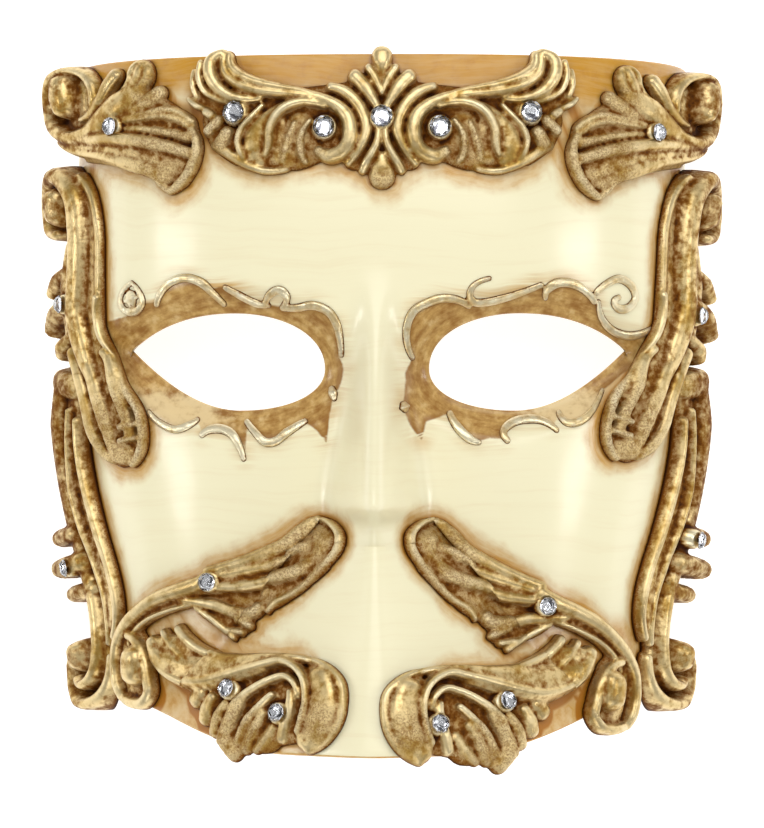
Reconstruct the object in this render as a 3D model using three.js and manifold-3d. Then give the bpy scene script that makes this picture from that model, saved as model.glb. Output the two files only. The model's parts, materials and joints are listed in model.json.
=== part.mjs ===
// Venetian mask: a hollow papier-mâché face shell, cast scroll and leaf ornaments laid on it,
// and cut crystals set in the ornaments. Millimetres, +Z up.
// The mask lies on its back: the open side is down, the side rims stand on z = 0,
// the forehead points to +Y, and left and right are as seen by someone facing the mask.
import * as THREE from 'three'
import Module from 'manifold-3d'

const manifold = await Module()
manifold.setup()

// Driving dimensions
const TOP_EDGE = 100.6           // y of the straight upper edge
const BOTTOM_EDGE = -95.3        // y of the lower edge on the midline
const BOTTOM_RISE = 11           // how much higher the lower edge is under the cheeks
const BOTTOM_RISE_FROM = 25      // girths between which the lower edge rises
const BOTTOM_RISE_TO = 85
const WALL = 2.6                 // thickness of the shell
const MEAN_HALF_WIDTH = 90       // section on which the girth is measured
const MEAN_CROWN = 70
const SECTION_POWER = 2.5        // squareness of the section across the face
const EYE_DISH = 4.5             // how far the eye surround sinks at the hole
const EYE_DISH_WIDTH = 9
const GAP = 0.3                  // between neighbouring pieces
const BED = 3                    // how far a carved stroke starts below the shell surface
const CRYSTAL_HEIGHT = 2.4
const SIDE_SWELL = 0.65          // how much thicker the castings are on the side walls
const SWELL_FROM = 90            // girths between which they thicken
const SWELL_TO = 110
const CREST_SHIFT = 1.7          // the brow row is set this far to the right of the face's midline

// A smooth curve through [position, value] stations
function stations(list) {
  const rows = [...list].sort((one, other) => one[0] - other[0])
  const slope = rows.map((row, i) => {
    const before = rows[Math.max(i - 1, 0)]
    const after = rows[Math.min(i + 1, rows.length - 1)]
    return (after[1] - before[1]) / (after[0] - before[0])
  })
  const last = rows.length - 1
  return (position) => {
    if (position <= rows[0][0]) return rows[0][1] + slope[0] * (position - rows[0][0])
    if (position >= rows[last][0]) return rows[last][1] + slope[last] * (position - rows[last][0])
    const i = rows.findIndex((row) => row[0] > position) - 1
    const span = rows[i + 1][0] - rows[i][0]
    const t = (position - rows[i][0]) / span
    const t2 = t * t
    const t3 = t2 * t
    return (2 * t3 - 3 * t2 + 1) * rows[i][1] + (t3 - 2 * t2 + t) * span * slope[i] +
      (3 * t2 - 2 * t3) * rows[i + 1][1] + (t3 - t2) * span * slope[i + 1]
  }
}

const smooth = (low, high, value) => THREE.MathUtils.smoothstep(value, low, high)

// The plain arch of the face, from forehead to chin
const halfWidth = stations([[99, 91], [60, 90.5], [0, 90.5], [-20, 88.5], [-40, 85], [-60, 82.2],
  [-85, 80.5], [-97, 80]])
const crown = stations([[99, 66], [60, 70], [30, 70], [10, 67], [-10, 66], [-40, 68], [-70, 71],
  [-97, 74]])

// What stands forward of the plain arch on the midline
const noseHeight = stations([[-38, 0], [-32, 8], [-27, 24], [-22, 28], [-10, 23], [5, 14], [16, 8],
  [28, 2.5], [40, 0]])
const noseHalfWidth = stations([[-38, 14], [-21, 13.5], [16, 8], [40, 8]])
const prowHeight = stations([[-97, 25], [-60, 22], [-38, 19], [-31, 14], [-24, 3], [-12, 0]])

// Half of one eye hole, from the outer corner over the top, the inner corner and the bottom
const eyeCorner = new THREE.Vector2(71, 17)
const eyeTop = new THREE.Vector2(41, 27.3)
const eyeInner = new THREE.Vector2(14.8, 11.5)
const eyeBottom = new THREE.Vector2(39, -0.3)
const eyeOutline = new THREE.Path()
eyeOutline.moveTo(eyeCorner.x, eyeCorner.y)
eyeOutline.bezierCurveTo(63, 24, 53, eyeTop.y, eyeTop.x, eyeTop.y)
eyeOutline.bezierCurveTo(27, eyeTop.y, eyeInner.x, 21.5, eyeInner.x, eyeInner.y)
eyeOutline.bezierCurveTo(eyeInner.x, 4.5, 25, eyeBottom.y, eyeBottom.x, eyeBottom.y)
eyeOutline.bezierCurveTo(51, eyeBottom.y, 62, 8, eyeCorner.x, eyeCorner.y)
const eyePoints = eyeOutline.getSpacedPoints(56)

function eyeDistance(x, y) {
  const here = new THREE.Vector3(Math.abs(x), y, 0)
  const edge = new THREE.Line3()
  const nearest = new THREE.Vector3()
  let distance = Infinity
  for (let i = 0; i < eyePoints.length - 1; i++) {
    edge.start.set(eyePoints[i].x, eyePoints[i].y, 0)
    edge.end.set(eyePoints[i + 1].x, eyePoints[i + 1].y, 0)
    edge.closestPointToPoint(here, true, nearest)
    distance = Math.min(distance, nearest.distanceTo(here))
  }
  return distance
}

// Height added to the plain arch by nose, prow, eye sockets and cheeks
function relief(x, y) {
  const across = Math.abs(x)
  const noseSide = across / noseHalfWidth(THREE.MathUtils.clamp(y, -38, 40)) / 0.62
  const noseTall = y > -38 && y < 40 ? Math.max(noseHeight(y), 0) : 0
  const nose = noseTall * Math.exp(-(noseSide ** 2.2))
  const prowSpread = THREE.MathUtils.clamp(13 + (-31 - y) * 0.72, 13, 70)
  const ridgeRound = 0.012
  const roof = Math.max(1.12 - Math.sqrt((across / prowSpread) ** 2 + ridgeRound), 0) /
    (1.12 - Math.sqrt(ridgeRound))
  const prow = (y < -12 ? Math.max(prowHeight(y), 0) : 0) * roof ** 1.15
  const socket = -3 * Math.exp(-(((across - 42) / 26) ** 2) - ((y - 13) / 15) ** 2)
  const cheek = 1.5 * Math.exp(-(((across - 55) / 20) ** 2) - ((y + 28) / 20) ** 2)
  return nose + prow + socket + cheek
}

// Section across the face: the angle runs from 0 on the midline to a quarter turn at the rim
function reach(angle, wide, tall) {
  const across = (Math.abs(Math.sin(angle)) / wide) ** SECTION_POWER
  const up = (Math.abs(Math.cos(angle)) / tall) ** SECTION_POWER
  return (across + up) ** (-1 / SECTION_POWER)
}

// Girth, the way along the mean section from the midline, against the section angle
const QUARTER = Math.PI / 2
const girthTable = [0]
for (let i = 1; i <= 180; i++) {
  const ends = [i - 1, i].map((step) => {
    const angle = step / 180 * QUARTER
    const r = reach(angle, MEAN_HALF_WIDTH, MEAN_CROWN)
    return new THREE.Vector2(r * Math.sin(angle), r * Math.cos(angle))
  })
  girthTable.push(girthTable[i - 1] + ends[0].distanceTo(ends[1]))
}
const RIM_GIRTH = girthTable[180]

function angleAt(girth) {
  const far = Math.min(Math.abs(girth), RIM_GIRTH)
  let i = girthTable.findIndex((value) => value >= far)
  i = Math.max(i, 1)
  const part = (far - girthTable[i - 1]) / (girthTable[i] - girthTable[i - 1])
  return Math.sign(girth) * (i - 1 + part) / 180 * QUARTER
}

function surfaceAt(angle, y, dished = false) {
  const r = reach(angle, halfWidth(y), crown(y))
  const x = r * Math.sin(angle)
  let z = r * Math.cos(angle) + relief(x, y) * smooth(0, 0.35, Math.abs(Math.cos(angle)))
  if (dished) z -= EYE_DISH * (1 - smooth(0, EYE_DISH_WIDTH, eyeDistance(x, y)))
  return new THREE.Vector3(x, y, z)
}

function normalAt(angle, y, dished = false) {
  const across = surfaceAt(angle + 0.01, y, dished).sub(surfaceAt(angle - 0.01, y, dished))
  const along = surfaceAt(angle, y + 0.3, dished).sub(surfaceAt(angle, y - 0.3, dished))
  return across.cross(along).normalize()
}

// The section angle at which the plain arch is x wide
function angleAtWidth(x, y) {
  let low = 0
  let high = QUARTER
  for (let i = 0; i < 30; i++) {
    const middle = (low + high) / 2
    if (reach(middle, halfWidth(y), crown(y)) * Math.sin(middle) < Math.abs(x)) low = middle
    else high = middle
  }
  return Math.sign(x) * low
}

// Net of the shell: columns by girth, rows by y, and rings round each eye hole inside a patch
const sideColumns = [0, 2.8, 6, 10, 22, 34, 47, 60, 71, 83, 92, 102, 114, RIM_GIRTH]
const columns = [...sideColumns.slice(1).reverse().map((girth) => -girth), ...sideColumns]
const rows = [TOP_EDGE, 68, 36, 27, 18, 9, 0, -8, -16, -22, -27, -32, -38, -50, -65, -80,
  BOTTOM_EDGE]
const PATCH_COLUMNS = [10, 83]
const PATCH_ROWS = [36, -8]
const RING_PARTS = [0.55, 1]
const SHAPED_BELOW = -40         // rows below this follow the rising lower edge

function rowHeight(y, girth) {
  if (y > SHAPED_BELOW) return y
  const edge = BOTTOM_EDGE + BOTTOM_RISE * smooth(BOTTOM_RISE_FROM, BOTTOM_RISE_TO, Math.abs(girth))
  return SHAPED_BELOW + (y - SHAPED_BELOW) * (edge - SHAPED_BELOW) / (BOTTOM_EDGE - SHAPED_BELOW)
}

// Corners and faces of the net as section angles and heights, without any thickness
function shellNet(rowList) {
  const places = []
  const quads = []
  const holes = []
  const grid = rowList.map((y) => columns.map((girth) => {
    places.push({ angle: angleAt(girth), y: rowHeight(y, girth) })
    return places.length - 1
  }))
  const firstRow = rowList.indexOf(PATCH_ROWS[0])
  const lastRow = rowList.indexOf(PATCH_ROWS[1])
  const inPatch = (row, girth) => row >= firstRow && row < lastRow &&
    Math.abs(girth) > PATCH_COLUMNS[0] && Math.abs(girth) < PATCH_COLUMNS[1]
  for (let row = 0; row < rowList.length - 1; row++) {
    for (let column = 0; column < columns.length - 1; column++) {
      const middle = (columns[column] + columns[column + 1]) / 2
      if (inPatch(row, middle)) continue
      quads.push([grid[row][column], grid[row + 1][column], grid[row + 1][column + 1],
        grid[row][column + 1]])
    }
  }
  for (const side of [-1, 1]) {
    const outer = columns.indexOf(side * PATCH_COLUMNS[1])
    const inner = columns.indexOf(side * PATCH_COLUMNS[0])
    const step = Math.sign(inner - outer)
    const middleRow = Math.round((firstRow + lastRow) / 2)
    let ring = []
    for (let row = middleRow; row > firstRow; row--) ring.push(grid[row][outer])
    for (let column = outer; column !== inner; column += step) ring.push(grid[firstRow][column])
    for (let row = firstRow; row < lastRow; row++) ring.push(grid[row][inner])
    for (let column = inner; column !== outer; column -= step) ring.push(grid[lastRow][column])
    for (let row = lastRow; row > middleRow; row--) ring.push(grid[row][outer])
    const frame = ring.map((index) => places[index])
    let previous = ring
    for (const part of RING_PARTS) {
      const next = ring.map((_, i) => {
        const mark = eyeOutline.getPointAt(i / ring.length)
        const hole = { angle: angleAtWidth(side * mark.x, mark.y), y: mark.y }
        places.push({
          angle: THREE.MathUtils.lerp(frame[i].angle, hole.angle, part),
          y: THREE.MathUtils.lerp(frame[i].y, hole.y, part),
        })
        return places.length - 1
      })
      for (let i = 0; i < ring.length; i++) {
        const j = (i + 1) % ring.length
        quads.push(side > 0 ? [previous[i], previous[j], next[j], next[i]]
          : [previous[i], next[i], next[j], previous[j]])
      }
      previous = next
    }
    holes.push({ side, ring: previous })
  }
  const edge = []
  const bottom = rowList.length - 1
  const right = columns.length - 1
  for (let row = 0; row < bottom; row++) edge.push(grid[row][0])
  for (let column = 0; column < right; column++) edge.push(grid[bottom][column])
  for (let row = bottom; row > 0; row--) edge.push(grid[row][right])
  for (let column = right; column > 0; column--) edge.push(grid[0][column])
  return { places, quads, holes, edge }
}

// Two triangles for each face, split the same way on both sides of the face
function trianglesOf(points, quads) {
  const triangles = []
  for (const [a, b, c, d] of quads) {
    const middle = points[a].x + points[b].x + points[c].x + points[d].x
    if (middle < 0) triangles.push([a, b, c], [a, c, d])
    else triangles.push([a, b, d], [b, c, d])
  }
  return triangles
}

function solidFrom(points, triangles) {
  let volume = 0
  for (const [a, b, c] of triangles) volume += points[a].dot(points[b].clone().cross(points[c]))
  const faces = volume < 0 ? triangles.map(([a, b, c]) => [a, c, b]) : triangles
  return new manifold.Manifold(new manifold.Mesh({
    numProp: 3,
    vertProperties: Float32Array.from(points.flatMap((point) => [point.x, point.y, point.z])),
    triVerts: Uint32Array.from(faces.flat()),
  }))
}

// The hollow shell: outer face, inner face one wall below it, and the walls of its edges and holes
function makeShell() {
  const net = shellNet(rows)
  const atEnd = (y, angle) => {
    const girth = columns.find((value) => Math.abs(angleAt(value) - angle) < 1e-9)
    return girth !== undefined && (y === TOP_EDGE || y === rowHeight(BOTTOM_EDGE, girth))
  }
  const outer = net.places.map(({ angle, y }) => surfaceAt(angle, y, true))
  const inner = net.places.map(({ angle, y }, i) => {
    const inward = normalAt(angle, y, true)
    if (atEnd(y, angle)) inward.setY(0).normalize()
    const point = outer[i].clone().addScaledVector(inward, -WALL)
    if (Math.abs(Math.abs(angle) - QUARTER) < 1e-6) point.z = 0
    return point
  })
  outer.forEach((point, i) => {
    if (Math.abs(Math.abs(net.places[i].angle) - QUARTER) < 1e-6) point.z = 0
  })
  const count = outer.length
  const points = [...outer, ...inner]
  const triangles = trianglesOf(points, net.quads)
  for (const [a, b, c] of trianglesOf(points, net.quads)) {
    triangles.push([c + count, b + count, a + count])
  }
  const wall = (loop, forward) => {
    for (let i = 0; i < loop.length; i++) {
      const a = loop[i]
      const b = loop[(i + 1) % loop.length]
      if (forward) triangles.push([b, a, a + count], [b, a + count, b + count])
      else triangles.push([a, b, a + count], [b, b + count, a + count])
    }
  }
  wall(net.edge, true)
  for (const { side, ring } of net.holes) wall(ring, side < 0)
  return solidFrom(points, triangles)
}

// Everything under the shell's outer face and a gap above it: what an ornament's back is cut by
function makeEnvelope() {
  const FLOOR = -20
  const BEYOND = 16
  const net = shellNet([TOP_EDGE + BEYOND, ...rows, BOTTOM_EDGE - BEYOND])
  const points = net.places.map(({ angle, y }) => {
    const point = surfaceAt(angle, y, true).addScaledVector(normalAt(angle, y, true), GAP)
    if (Math.abs(Math.abs(angle) - QUARTER) < 1e-6) point.z = 0
    return point
  })
  const triangles = trianglesOf(points, net.quads)
  for (const { side, ring } of net.holes) {
    const centre = new THREE.Vector3()
    ring.forEach((index) => centre.add(points[index]))
    points.push(centre.divideScalar(ring.length))
    ring.forEach((index, i) => {
      const next = ring[(i + 1) % ring.length]
      triangles.push(side > 0 ? [index, next, points.length - 1] : [next, index, points.length - 1])
    })
  }
  const start = points.length
  net.edge.forEach((index) => points.push(new THREE.Vector3(points[index].x, points[index].y, FLOOR)))
  points.push(new THREE.Vector3(0, 0, FLOOR))
  const middle = points.length - 1
  net.edge.forEach((index, i) => {
    const next = (i + 1) % net.edge.length
    triangles.push([net.edge[next], index, start + i], [net.edge[next], start + i, start + next])
    triangles.push([start + next, start + i, middle])
  })
  return solidFrom(points, triangles)
}

// Where a girth and height on the left-hand or right-hand half come on the shell.
// side is -1 for the left half and 1 for the right; seat moves a right-hand piece from its twin's place
function seated(side, seat = {}) {
  const pivot = new THREE.Vector2(...(seat.pivot ?? [0, 0]))
  const turn = THREE.MathUtils.degToRad(seat.turn ?? 0)
  const shift = new THREE.Vector2(...(seat.shift ?? [0, 0]))
  return (girth, y) => {
    const here = new THREE.Vector2(girth, y).rotateAround(pivot, turn).add(shift)
    const swell = 1 + SIDE_SWELL * smooth(SWELL_FROM, SWELL_TO, here.x)
    return { angle: angleAt(side * here.x), y: here.y, swell }
  }
}

function raised(place, girth, y, lift) {
  const { angle, y: height, swell } = place(girth, y)
  const rise = lift > 0 ? lift * swell : lift
  return surfaceAt(angle, height, true).addScaledVector(normalAt(angle, height, true), rise)
}

// A value that runs through the listed ones as t goes from 0 to 1
function along(values, t) {
  const step = THREE.MathUtils.clamp(t, 0, 1) * (values.length - 1)
  const i = Math.min(Math.floor(step), values.length - 2)
  return THREE.MathUtils.lerp(values[i], values[i + 1], step - i)
}

// A carved stroke: a ridge or a leaf with several ribs, laid along a path over the shell.
// path holds [girth, y] places; wide is the half width and tall the height along it.
// ends says how it starts and stops: round, plain where it runs under another stroke,
// or leaf, where each rib ends in a lobe of its own. lobe is how far a rib runs out past the
// grooves beside it, and arc how far the middle of such an end stands out past its sides
const EDGE_PART = 0.45           // height of a stroke's edge against its crest
const GROOVE_PART = 0.66         // height of a groove between two ribs against the crest

function sectionOf(ribs, dome) {
  if (dome) return [[-1, 0.45], [-0.45, 1], [0.45, 1], [1, 0.45]]
  const section = []
  for (let j = 0; j <= 2 * ribs; j++) {
    const q = j / ribs - 1
    const isEdge = j === 0 || j === 2 * ribs
    const arch = Math.sqrt(1 - 0.35 * q * q)
    section.push([q, isEdge ? EDGE_PART : (j % 2 === 1 ? 1 : GROOVE_PART) * arch])
  }
  return section
}

function stroke({ path, wide, tall, ribs = 1, dome = false, ends = ['round', 'round'], lobe = 1.6,
  arc = 1, steps = path.length - 1 }, place) {
  const curve = new THREE.CatmullRomCurve3(path.map(([g, y]) => new THREE.Vector3(g, y, 0)),
    false, 'centripetal')
  const section = sectionOf(ribs, dome)
  const stops = []
  for (let i = 0; i <= steps; i++) {
    const t = i / steps
    stops.push({ at: curve.getPoint(t), run: curve.getTangent(t), wide: along(wide, t), tall: along(tall, t) })
  }
  const finish = (stop, kind, way) => {
    if (kind === 'plain') return []
    if (kind === 'leaf') return [{ ...stop, way, lobed: true, tall: stop.tall * 0.55 }]
    return [{ at: stop.at.clone().addScaledVector(stop.run, way * stop.wide * 0.75), run: stop.run,
      wide: stop.wide * 0.5, tall: stop.tall * 0.6 }]
  }
  stops.unshift(...finish(stops[0], ends[0], -1))
  stops.push(...finish(stops[stops.length - 1], ends[1], 1))
  const points = []
  for (const stop of stops) {
    const forward = (q, j) => {
      if (!stop.lobed) return 0
      return stop.way * (lobe * (j % 2) + arc * (1 - q * q))
    }
    const spot = (q, j) => [
      stop.at.x - stop.run.y * stop.wide * q + stop.run.x * forward(q, j),
      stop.at.y + stop.run.x * stop.wide * q + stop.run.y * forward(q, j),
    ]
    section.forEach(([q, part], j) => points.push(raised(place, ...spot(q, j), stop.tall * part)))
    const last = section.length - 1
    points.push(raised(place, ...spot(1, last), -BED), raised(place, ...spot(-1, 0), -BED))
  }
  const ring = section.length + 2
  const triangles = []
  for (let i = 0; i < stops.length - 1; i++) {
    for (let j = 0; j < ring; j++) {
      const a = i * ring + j
      const b = i * ring + (j + 1) % ring
      triangles.push([a, b, b + ring], [a, b + ring, a + ring])
    }
  }
  const last = (stops.length - 1) * ring
  for (let j = 1; j < ring - 1; j++) {
    triangles.push([0, j + 1, j], [last, last + j, last + j + 1])
  }
  return solidFrom(points, triangles)
}

// Cut crystals: a foot and a smaller flat table, six facets between them
function crystalSolid({ girth, y, lift, radius }, place, grow = 0, top = CRYSTAL_HEIGHT) {
  const FACETS = 6
  const { angle, y: height, swell } = place(girth, y)
  const out = normalAt(angle, height, true)
  const foot = surfaceAt(angle, height, true).addScaledVector(out, lift * swell - grow)
  const frame = new THREE.Quaternion().setFromUnitVectors(new THREE.Vector3(0, 0, 1), out)
  const points = []
  for (const [level, reachOut] of [[0, 1], [top + grow, grow > 0 ? 1 : 0.6]]) {
    for (let i = 0; i < FACETS; i++) {
      const turn = (i + 0.5) / FACETS * Math.PI * 2
      const r = (radius + grow) * reachOut
      const point = new THREE.Vector3(r * Math.cos(turn), r * Math.sin(turn), level)
      points.push(point.applyQuaternion(frame).add(foot))
    }
  }
  const triangles = []
  for (let i = 0; i < FACETS; i++) {
    const j = (i + 1) % FACETS
    triangles.push([i, j, j + FACETS], [i, j + FACETS, i + FACETS])
  }
  for (let i = 1; i < FACETS - 1; i++) {
    triangles.push([0, i + 1, i], [FACETS, FACETS + i, FACETS + i + 1])
  }
  return solidFrom(points, triangles)
}

// The carving of each ornament, as strokes with the girth measured outward from the midline.
// Middle of the brow crest: a palmette of five petals with a boss and a foot, on its own centre line
const palmette = [
  { path: [[0, 65], [0, 73], [0, 82], [0, 90]], wide: [6, 4.4, 5.8, 13], tall: [3.4, 4.4, 5.4, 5.2],
    ribs: 5, ends: ['plain', 'leaf'], lobe: 2, arc: 9 },
  { path: [[0, 84], [0, 79.5]], wide: [3.9, 3.9], tall: [6, 6], dome: true },
  { path: [[0, 69], [0, 65]], wide: [2, 3.2], tall: [4, 4.6], ends: ['plain', 'round'] },
]

// One half of the brow crest beside the palmette: a C scroll with its eye and its lobes
const crestHalf = [
  { path: [[41, 88], [31, 81], [18, 80], [5, 80]], wide: [4.6, 7.4, 8.6, 5], tall: [2.4, 2.4, 2.8, 3],
    ends: ['plain', 'plain'] },
  { path: [[50, 100], [50.8, 92], [41, 87]], wide: [2, 2.1, 1.6], tall: [4.5, 4.6, 3.8],
    ends: ['round', 'plain'], steps: 3 },
  { path: [[47, 100], [44, 93.5], [36, 91], [24, 89.5], [14, 86.5], [8.8, 80], [10, 72.5], [18.5, 70.5]],
    wide: [2.3, 2.2, 2.2, 2.4, 2.6, 2.5, 2.3, 1.8], tall: [5.2, 5.4, 5.6, 6, 6, 6, 5.6, 4] },
  { path: [[23, 87], [32.5, 84], [36.5, 77], [33, 69.5]], wide: [1.8, 3, 4.2, 3.2],
    tall: [4, 5.4, 6, 4], ribs: 2, ends: ['plain', 'leaf'] },
  { path: [[24, 79], [17, 79]], wide: [2.4, 3.4], tall: [3.6, 4.4], ends: ['plain', 'round'] },
]

// Brow corner: a volute round the corner of the face, and a leaf that fans towards the crest
const cornerLeaf = [
  { path: [[82, 83.5], [92.4, 80.7], [102, 80.3], [110, 85], [112, 92.5], [107.5, 98.8], [99.5, 99.8],
    [93.4, 94], [98.5, 87.5]], wide: [2.2, 2.2, 2.3, 2.4, 2.4, 2.3, 2.2, 2, 1.8],
    tall: [5, 5.4, 5.8, 6.4, 6.9, 6.9, 6.4, 5.4, 4.8], ends: ['plain', 'plain'], steps: 7 },
  { path: [[101.5, 93], [101.5, 88.5]], wide: [3.8, 3.8], tall: [7.4, 7], dome: true },
  { path: [[106.5, 78.2], [86, 77.5], [69, 76], [56.5, 72.5]], wide: [2, 4.8, 8.4, 10.6],
    tall: [5, 5.6, 5.4, 4.4], ribs: 4, ends: ['plain', 'leaf'], lobe: 2, arc: 1.6 },
  { path: [[84, 82], [75, 89], [70.5, 94]], wide: [3, 6, 6.6], tall: [5, 5.2, 4], ribs: 2,
    ends: ['plain', 'leaf'], lobe: 1.6, arc: 2 },
]

// Temple: a band that rises into a volute on the side wall, with a broad leaf below and side lobes
const templeScroll = [
  { path: [[96.5, 20], [96.5, 40], [96.5, 54]], wide: [6.6, 7, 6], tall: [5.4, 6.2, 6.4], ribs: 2,
    ends: ['plain', 'plain'] },
  { path: [[95, 53], [98.5, 64.5], [106, 68.5], [113.5, 66], [117, 59.5], [114, 53], [107.5, 52]],
    wide: [4.2, 3.8, 3.2, 3, 2.8, 2.4, 1.8], tall: [6.2, 6.6, 6.8, 6.8, 6.8, 6.4, 5.4],
    ends: ['plain', 'plain'], steps: 5 },
  { path: [[107.5, 62.5], [107.5, 57]], wide: [4, 4], tall: [7.4, 7], dome: true },
  { path: [[96, 24], [88.5, 12], [82, 1], [76.5, -11]], wide: [5.4, 7, 7.6, 6.4], tall: [5, 5.2, 5, 4],
    ribs: 3, ends: ['plain', 'leaf'], lobe: 1.6, arc: 3 },
  { path: [[101, 28], [110.5, 28]], wide: [9, 12], tall: [5, 6.5], ribs: 3,
    ends: ['plain', 'leaf'], lobe: 4, arc: 0.5 },
]

// Cheek: a fluted band down the side wall into a volute, with three lobes on its outer side
const cheekScroll = [
  { path: [[106.5, 10], [107.5, -8], [108, -22], [103.5, -36], [97, -50], [93, -62], [92.8, -71]],
    wide: [7.6, 8.4, 8.2, 7.2, 6.2, 5, 4], tall: [4.6, 5.2, 5, 4.8, 4.8, 4.8, 4.8], ribs: 2,
    ends: ['leaf', 'plain'], lobe: 1.4, arc: 1.6, steps: 5 },
  { path: [[95.5, -66], [95.3, -76], [100, -83.5], [107.5, -85.5], [113.5, -81.5], [115.5, -75],
    [112, -69.5], [106, -69]], wide: [2.6, 2.9, 3, 3, 2.8, 2.6, 2.4, 1.8],
    tall: [5.2, 6, 6.6, 7.4, 8, 8, 7, 6], ends: ['plain', 'plain'] },
  { path: [[106.5, -75.5], [106.5, -78.5]], wide: [4.1, 4.1], tall: [8.8, 8.6], dome: true },
  { path: [[102, -44], [111.5, -44.5]], wide: [9, 11], tall: [6, 8.6], ribs: 3,
    ends: ['plain', 'leaf'], lobe: 4.4, arc: 0.5 },
]

// Moustache: a long leaf from beside the nose out to a volute ball, with hooks on its under side
const moustacheLeaf = [
  { path: [[84.5, -72], [78.5, -63.5], [66.5, -57], [51, -52.5], [36, -49.3], [22.5, -43.3],
    [15.5, -37]], wide: [1.9, 2.6, 3.8, 4.9, 6.4, 6.8, 5.4], tall: [5, 5.2, 5.4, 5.6, 5.4, 5.2, 4.2],
    ribs: 2, ends: ['plain', 'leaf'], lobe: 1, arc: 3.4 },
  { path: [[60, -57], [47, -58.5], [37, -60]], wide: [1.6, 3.6, 5], tall: [4, 4.4, 3.6],
    ribs: 2, ends: ['plain', 'leaf'], lobe: 2.4, arc: 0.6 },
  { path: [[72.5, -72.5], [73, -76.5]], wide: [4.1, 4.1], tall: [8.2, 7.8], dome: true },
  { path: [[84.5, -69], [86, -78], [79.5, -83.3], [71.5, -82], [67.5, -77]],
    wide: [1.8, 2, 2.3, 2.2, 1.6], tall: [5, 5.4, 5.4, 5, 3.6], ends: ['plain', 'round'] },
]

// Chin: a trunk that curls over beside the prow, with lobes hanging over the lower edge
const chinLeaf = [
  { path: [[66, -67], [54, -73], [39.5, -74.5], [27, -72.3], [16, -74], [10, -80.5], [11, -88],
    [17, -92]], wide: [3.4, 5.2, 4.8, 3.6, 3.8, 4.2, 4.2, 3.4],
    tall: [4.6, 5.4, 5.6, 5.4, 5.8, 6, 5.6, 4], ribs: 2, ends: ['round', 'round'] },
  { path: [[24, -75.5], [19, -79.5], [20, -92]], wide: [1.8, 2.4, 2.2], tall: [5, 5.6, 3.6],
    ends: ['plain', 'round'] },
  { path: [[39.5, -76], [38, -84], [36.5, -92.8]], wide: [11.6, 12.6, 10], tall: [4.8, 5.2, 3.8],
    ribs: 4, ends: ['plain', 'leaf'], lobe: 3, arc: 2.4 },
]

// Crystals by ornament: girth, y, height of the foot above the shell, radius, and where the right-hand
// one sits in another spot of its casting
const LARGE_CRYSTAL = 3.1
const SMALL_CRYSTAL = 2.6
const crestCrystals = [
  { name: 'crystal_brow_inner', girth: 16.5, y: 79, lift: 3.6, radius: LARGE_CRYSTAL },
  { name: 'crystal_brow_outer', girth: 42.5, y: 83.5, lift: 3.4, radius: LARGE_CRYSTAL },
]
const centreCrystal = { girth: 0, y: 81.7, lift: 4.5, radius: LARGE_CRYSTAL }

// The side ornaments, each with its crystals and the right-hand casting's own place on the face
const pairs = [
  { name: 'brow_corner_leaf', strokes: cornerLeaf, seat: { shift: [4.5, -1.7] },
    crystals: [{ name: 'crystal_corner', girth: 79, y: 81, lift: 4.8, radius: SMALL_CRYSTAL }] },
  { name: 'temple_scroll', strokes: templeScroll, seat: { pivot: [95, 32], turn: -5, shift: [1, 0] },
    crystals: [{ name: 'crystal_temple', girth: 101.5, y: 30.8, lift: 5, radius: SMALL_CRYSTAL,
      twin: [101.5, 28] }] },
  { name: 'cheek_scroll', strokes: cheekScroll, seat: {},
    crystals: [{ name: 'crystal_cheek', girth: 106, y: -45, lift: 6.6, radius: SMALL_CRYSTAL,
      twin: [106, -36.5] }] },
  { name: 'moustache_leaf', strokes: moustacheLeaf, seat: { pivot: [12, -35], turn: -6.5 },
    crystals: [{ name: 'crystal_moustache', girth: 47.8, y: -48.8, lift: 5.2, radius: SMALL_CRYSTAL,
      twin: [50, -51.4] }] },
  { name: 'chin_leaf', strokes: chinLeaf, seat: { shift: [-5, -2.8] },
    crystals: [
      { name: 'crystal_chin_outer', girth: 38.5, y: -79.5, lift: 4.6, radius: SMALL_CRYSTAL },
      { name: 'crystal_chin_inner', girth: 24, y: -85, lift: 4, radius: SMALL_CRYSTAL, twin: [20.5, -84.5] },
    ] },
]

const ivory = { color: 0xf0e6c2, roughness: 0.3, metalness: 0 }
const silverLeaf = { color: 0xa89968, roughness: 0.45, metalness: 0.7 }
const crystalGlass = { color: 0xe8edf2, roughness: 0.05, metalness: 0 }

const mask = new THREE.Group()
mask.name = 'venetian_mask'

function addNode(name, solid, look) {
  const { vertProperties, triVerts, numProp } = solid.getMesh()
  const geometry = new THREE.BufferGeometry()
  const positions = new Float32Array(vertProperties.length / numProp * 3)
  for (let i = 0; i < positions.length / 3; i++) {
    for (let axis = 0; axis < 3; axis++) positions[i * 3 + axis] = vertProperties[i * numProp + axis]
  }
  geometry.setAttribute('position', new THREE.BufferAttribute(positions, 3))
  geometry.setIndex(new THREE.BufferAttribute(Uint32Array.from(triVerts), 1))
  geometry.computeVertexNormals()
  const mesh = new THREE.Mesh(geometry, new THREE.MeshStandardMaterial(look))
  mesh.name = name
  mask.add(mesh)
}

const envelope = makeEnvelope()
const POCKET_DEPTH = 9

// An ornament's strokes joined, its back cut to the shell and pockets cut for its crystals
function castOrnament(solids, crystals) {
  let body = solids.reduce((joined, solid) => joined.add(solid))
  body = body.subtract(envelope)
  for (const { crystal, place } of crystals) {
    body = body.subtract(crystalSolid(crystal, place, GAP, POCKET_DEPTH))
  }
  return body
}

addNode('mask_shell', makeShell(), ivory)

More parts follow.
